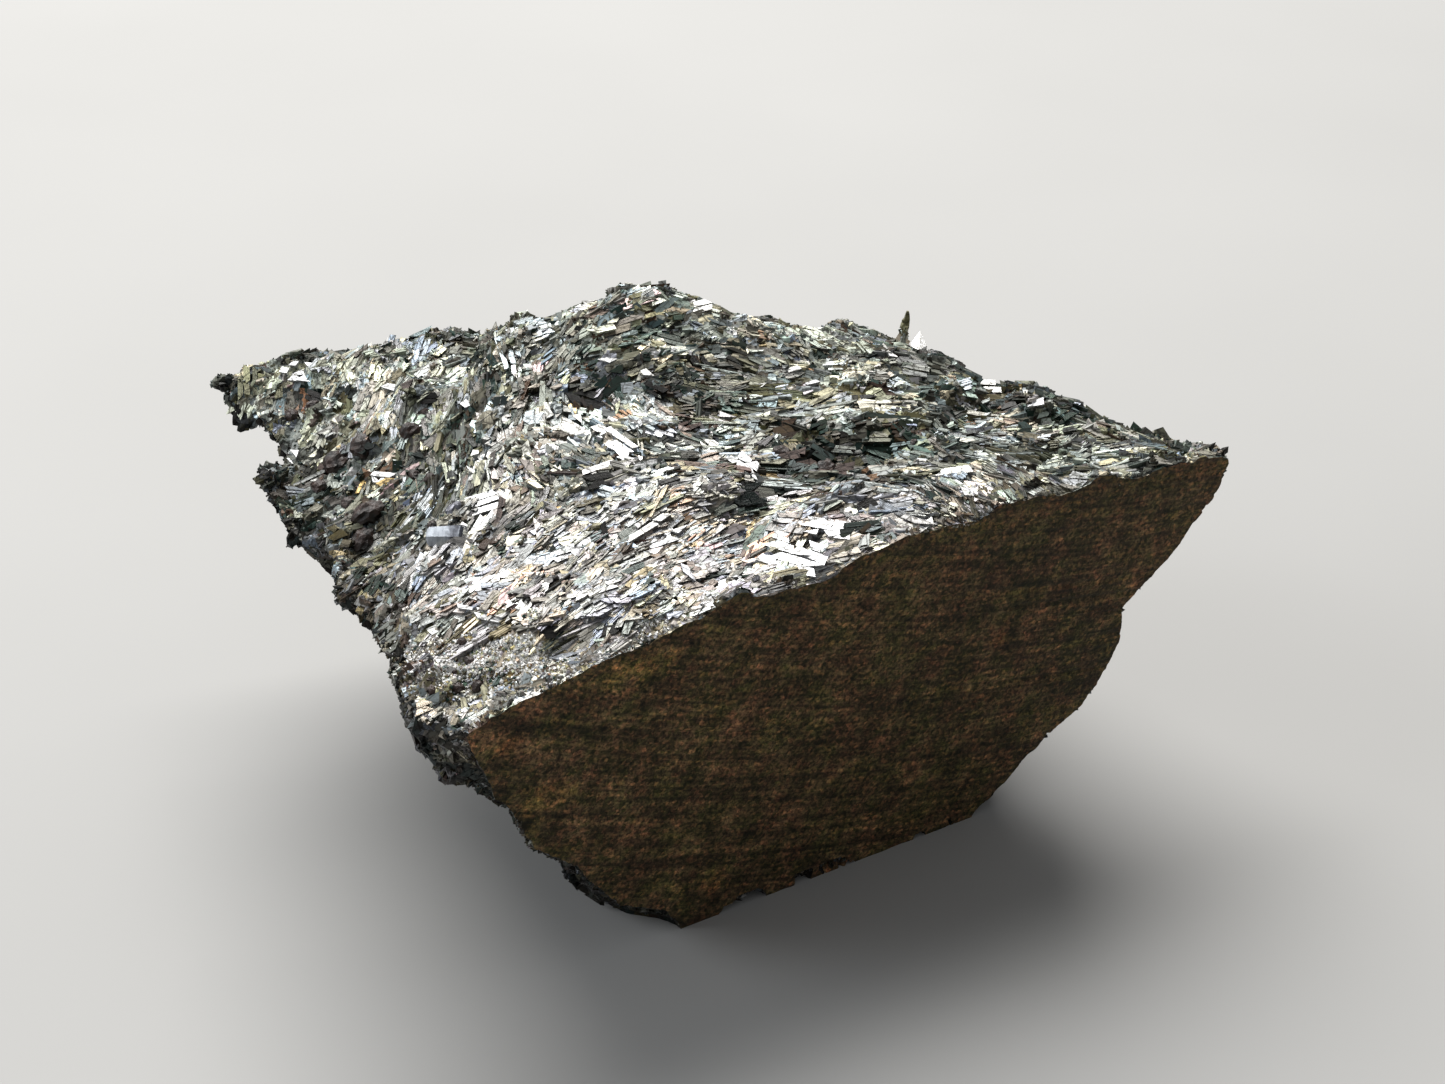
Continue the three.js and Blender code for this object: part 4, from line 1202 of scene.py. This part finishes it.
def make_garnets(skin):
    """The dark garnets, as ragged lumps sunk in the rock."""
    rows = np.array(GARNETS)
    centre, out = skin.below(rows[:, :2])
    build = bmesh.new()
    for middle, normal, size in zip(centre, out, rows[:, 2]):
        made = bmesh.ops.create_icosphere(build, subdivisions=3, radius=size / 2)
        turn = Matrix(random_turns(1)[0].tolist())
        axes = 0.7 + 0.45 * rng.random(3)
        start = Vector(apart(1)[0])
        for vertex in made["verts"]:
            facet = solid_noise.cell(vertex.co * 4 / size + start)
            dent = 0.5 * facet + 0.5 * solid_noise.noise(vertex.co * 6 / size + start)
            local = Vector(np.array(vertex.co) * axes) * (0.9 + 0.22 * dent + 0.08 * rng.random())
            vertex.co = turn @ local + Vector(middle - normal * size * 0.06)
    bmesh.ops.scale(build, vec=(MM, MM, MM), verts=build.verts)
    return object_from(build, "garnets")


def make_prism(skin):
    """The stubby six-sided prism, with bevelled ends."""
    x, y, angle, length, width = PRISM
    centre, out = skin.below([(x, y)])
    build = bmesh.new()
    radius = width / 2
    bmesh.ops.create_cone(build, cap_ends=True, segments=6, radius1=radius, radius2=radius, depth=length)
    rims = [edge for edge in build.edges if abs(edge.verts[0].co.z - edge.verts[1].co.z) < 0.01]
    bmesh.ops.bevel(build, geom=rims, offset=0.11 * width, segments=1, profile=0.5, affect="EDGES")
    axis = Vector((math.cos(angle), math.sin(angle), PRISM_RISE)).normalized()
    turn = axis.to_track_quat("Z", "Y").to_matrix()
    place = Vector(centre[0] + out[0] * 0.4 * width)
    for vertex in build.verts:
        slope = 1 + 0.25 * vertex.co.z / length
        flat = Vector((vertex.co.x * slope, vertex.co.y * slope, vertex.co.z))
        vertex.co = (turn @ flat + place) * MM
    bmesh.ops.triangulate(build, faces=build.faces)
    return object_from(build, "prism")


def finish_piece(piece, *materials):
    piece.data.materials.clear()
    for material in materials:
        piece.data.materials.append(material)
    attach(piece, "root")
    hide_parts(NODE)


def finish_body(body, shards, skin, *materials):
    """Colours the body and turns it to metres. The saw cut gets the second material."""
    mesh = body.data
    shards.colour(mesh, skin)
    set_points(mesh, read(mesh.vertices, "co") * MM)
    finish_piece(body, *materials)
    sawn = on_saw_cut(read(mesh.polygons, "center") / MM, read(mesh.polygons, "normal"))
    mesh.polygons.foreach_set("material_index", sawn.astype(np.int32))
    mesh.update()


def make_stone():
    source = frame["nodes"][NODE]
    body, shards = make_body(source)
    coarse = remeshed(source, "coarse", SMOOTH_VOXEL)
    skin = Skin(body.data, coarse.data)
    discard(coarse)

    names = ("bold_crystals", "fine_crystals", "fibres", "chips")
    piles = {name: Pile(skin, LATH_TRIANGLES, keel=(4, 5)) for name in names}
    bold, fine, fibres, chips = piles.values()
    place_faces(bold, BRIGHT_FACES, PALE_AND_HIGHLIGHT_TINTS, CLEAVAGE, 0.85)
    place_faces(bold, DARK_AND_SHADOW_FACES, DARK_AND_SHADOW_TINTS, SHADE_LIE, 0.6)
    scatter(bold, BOLD, 2200, on_clean_top)
    scatter(bold, PLATE, 440, on_gleaming, clean=0.7)
    scatter(bold, PLATE, 260, on_clean_top)
    scatter(fine, FINE, 3800, on_mixed_top)
    scatter(chips, CHIP, 6500, on_flanks)
    scatter(chips, CHIP, 3000, on_top)
    scatter(chips, CHIP, 1500, on_rim)
    scatter(fibres, FIBRE, 700, on_fibrous)
    grains = piles["grains"] = Pile(skin, GRAIN_TRIANGLES, keel=range(6))
    add_grains(grains, 19500, (0.08, 0.26), on_rubble)
    add_grains(grains, 5000, (0.14, 0.32), on_gritty, tone=2.3)
    place_sparkle(grains)

    crystals = make_material("nuummite_crystals", crystal_look)
    finish_body(body, shards, skin, crystals, make_material("nuummite_sawn", sawn_look))
    for name, pile in piles.items():
        finish_piece(pile.make(name), crystals)
    finish_piece(make_garnets(skin), make_material("nuummite_garnets", garnet_look))
    finish_piece(make_prism(skin), make_material("nuummite_prism", prism_look))


make_camera()
make_studio()
make_stone()
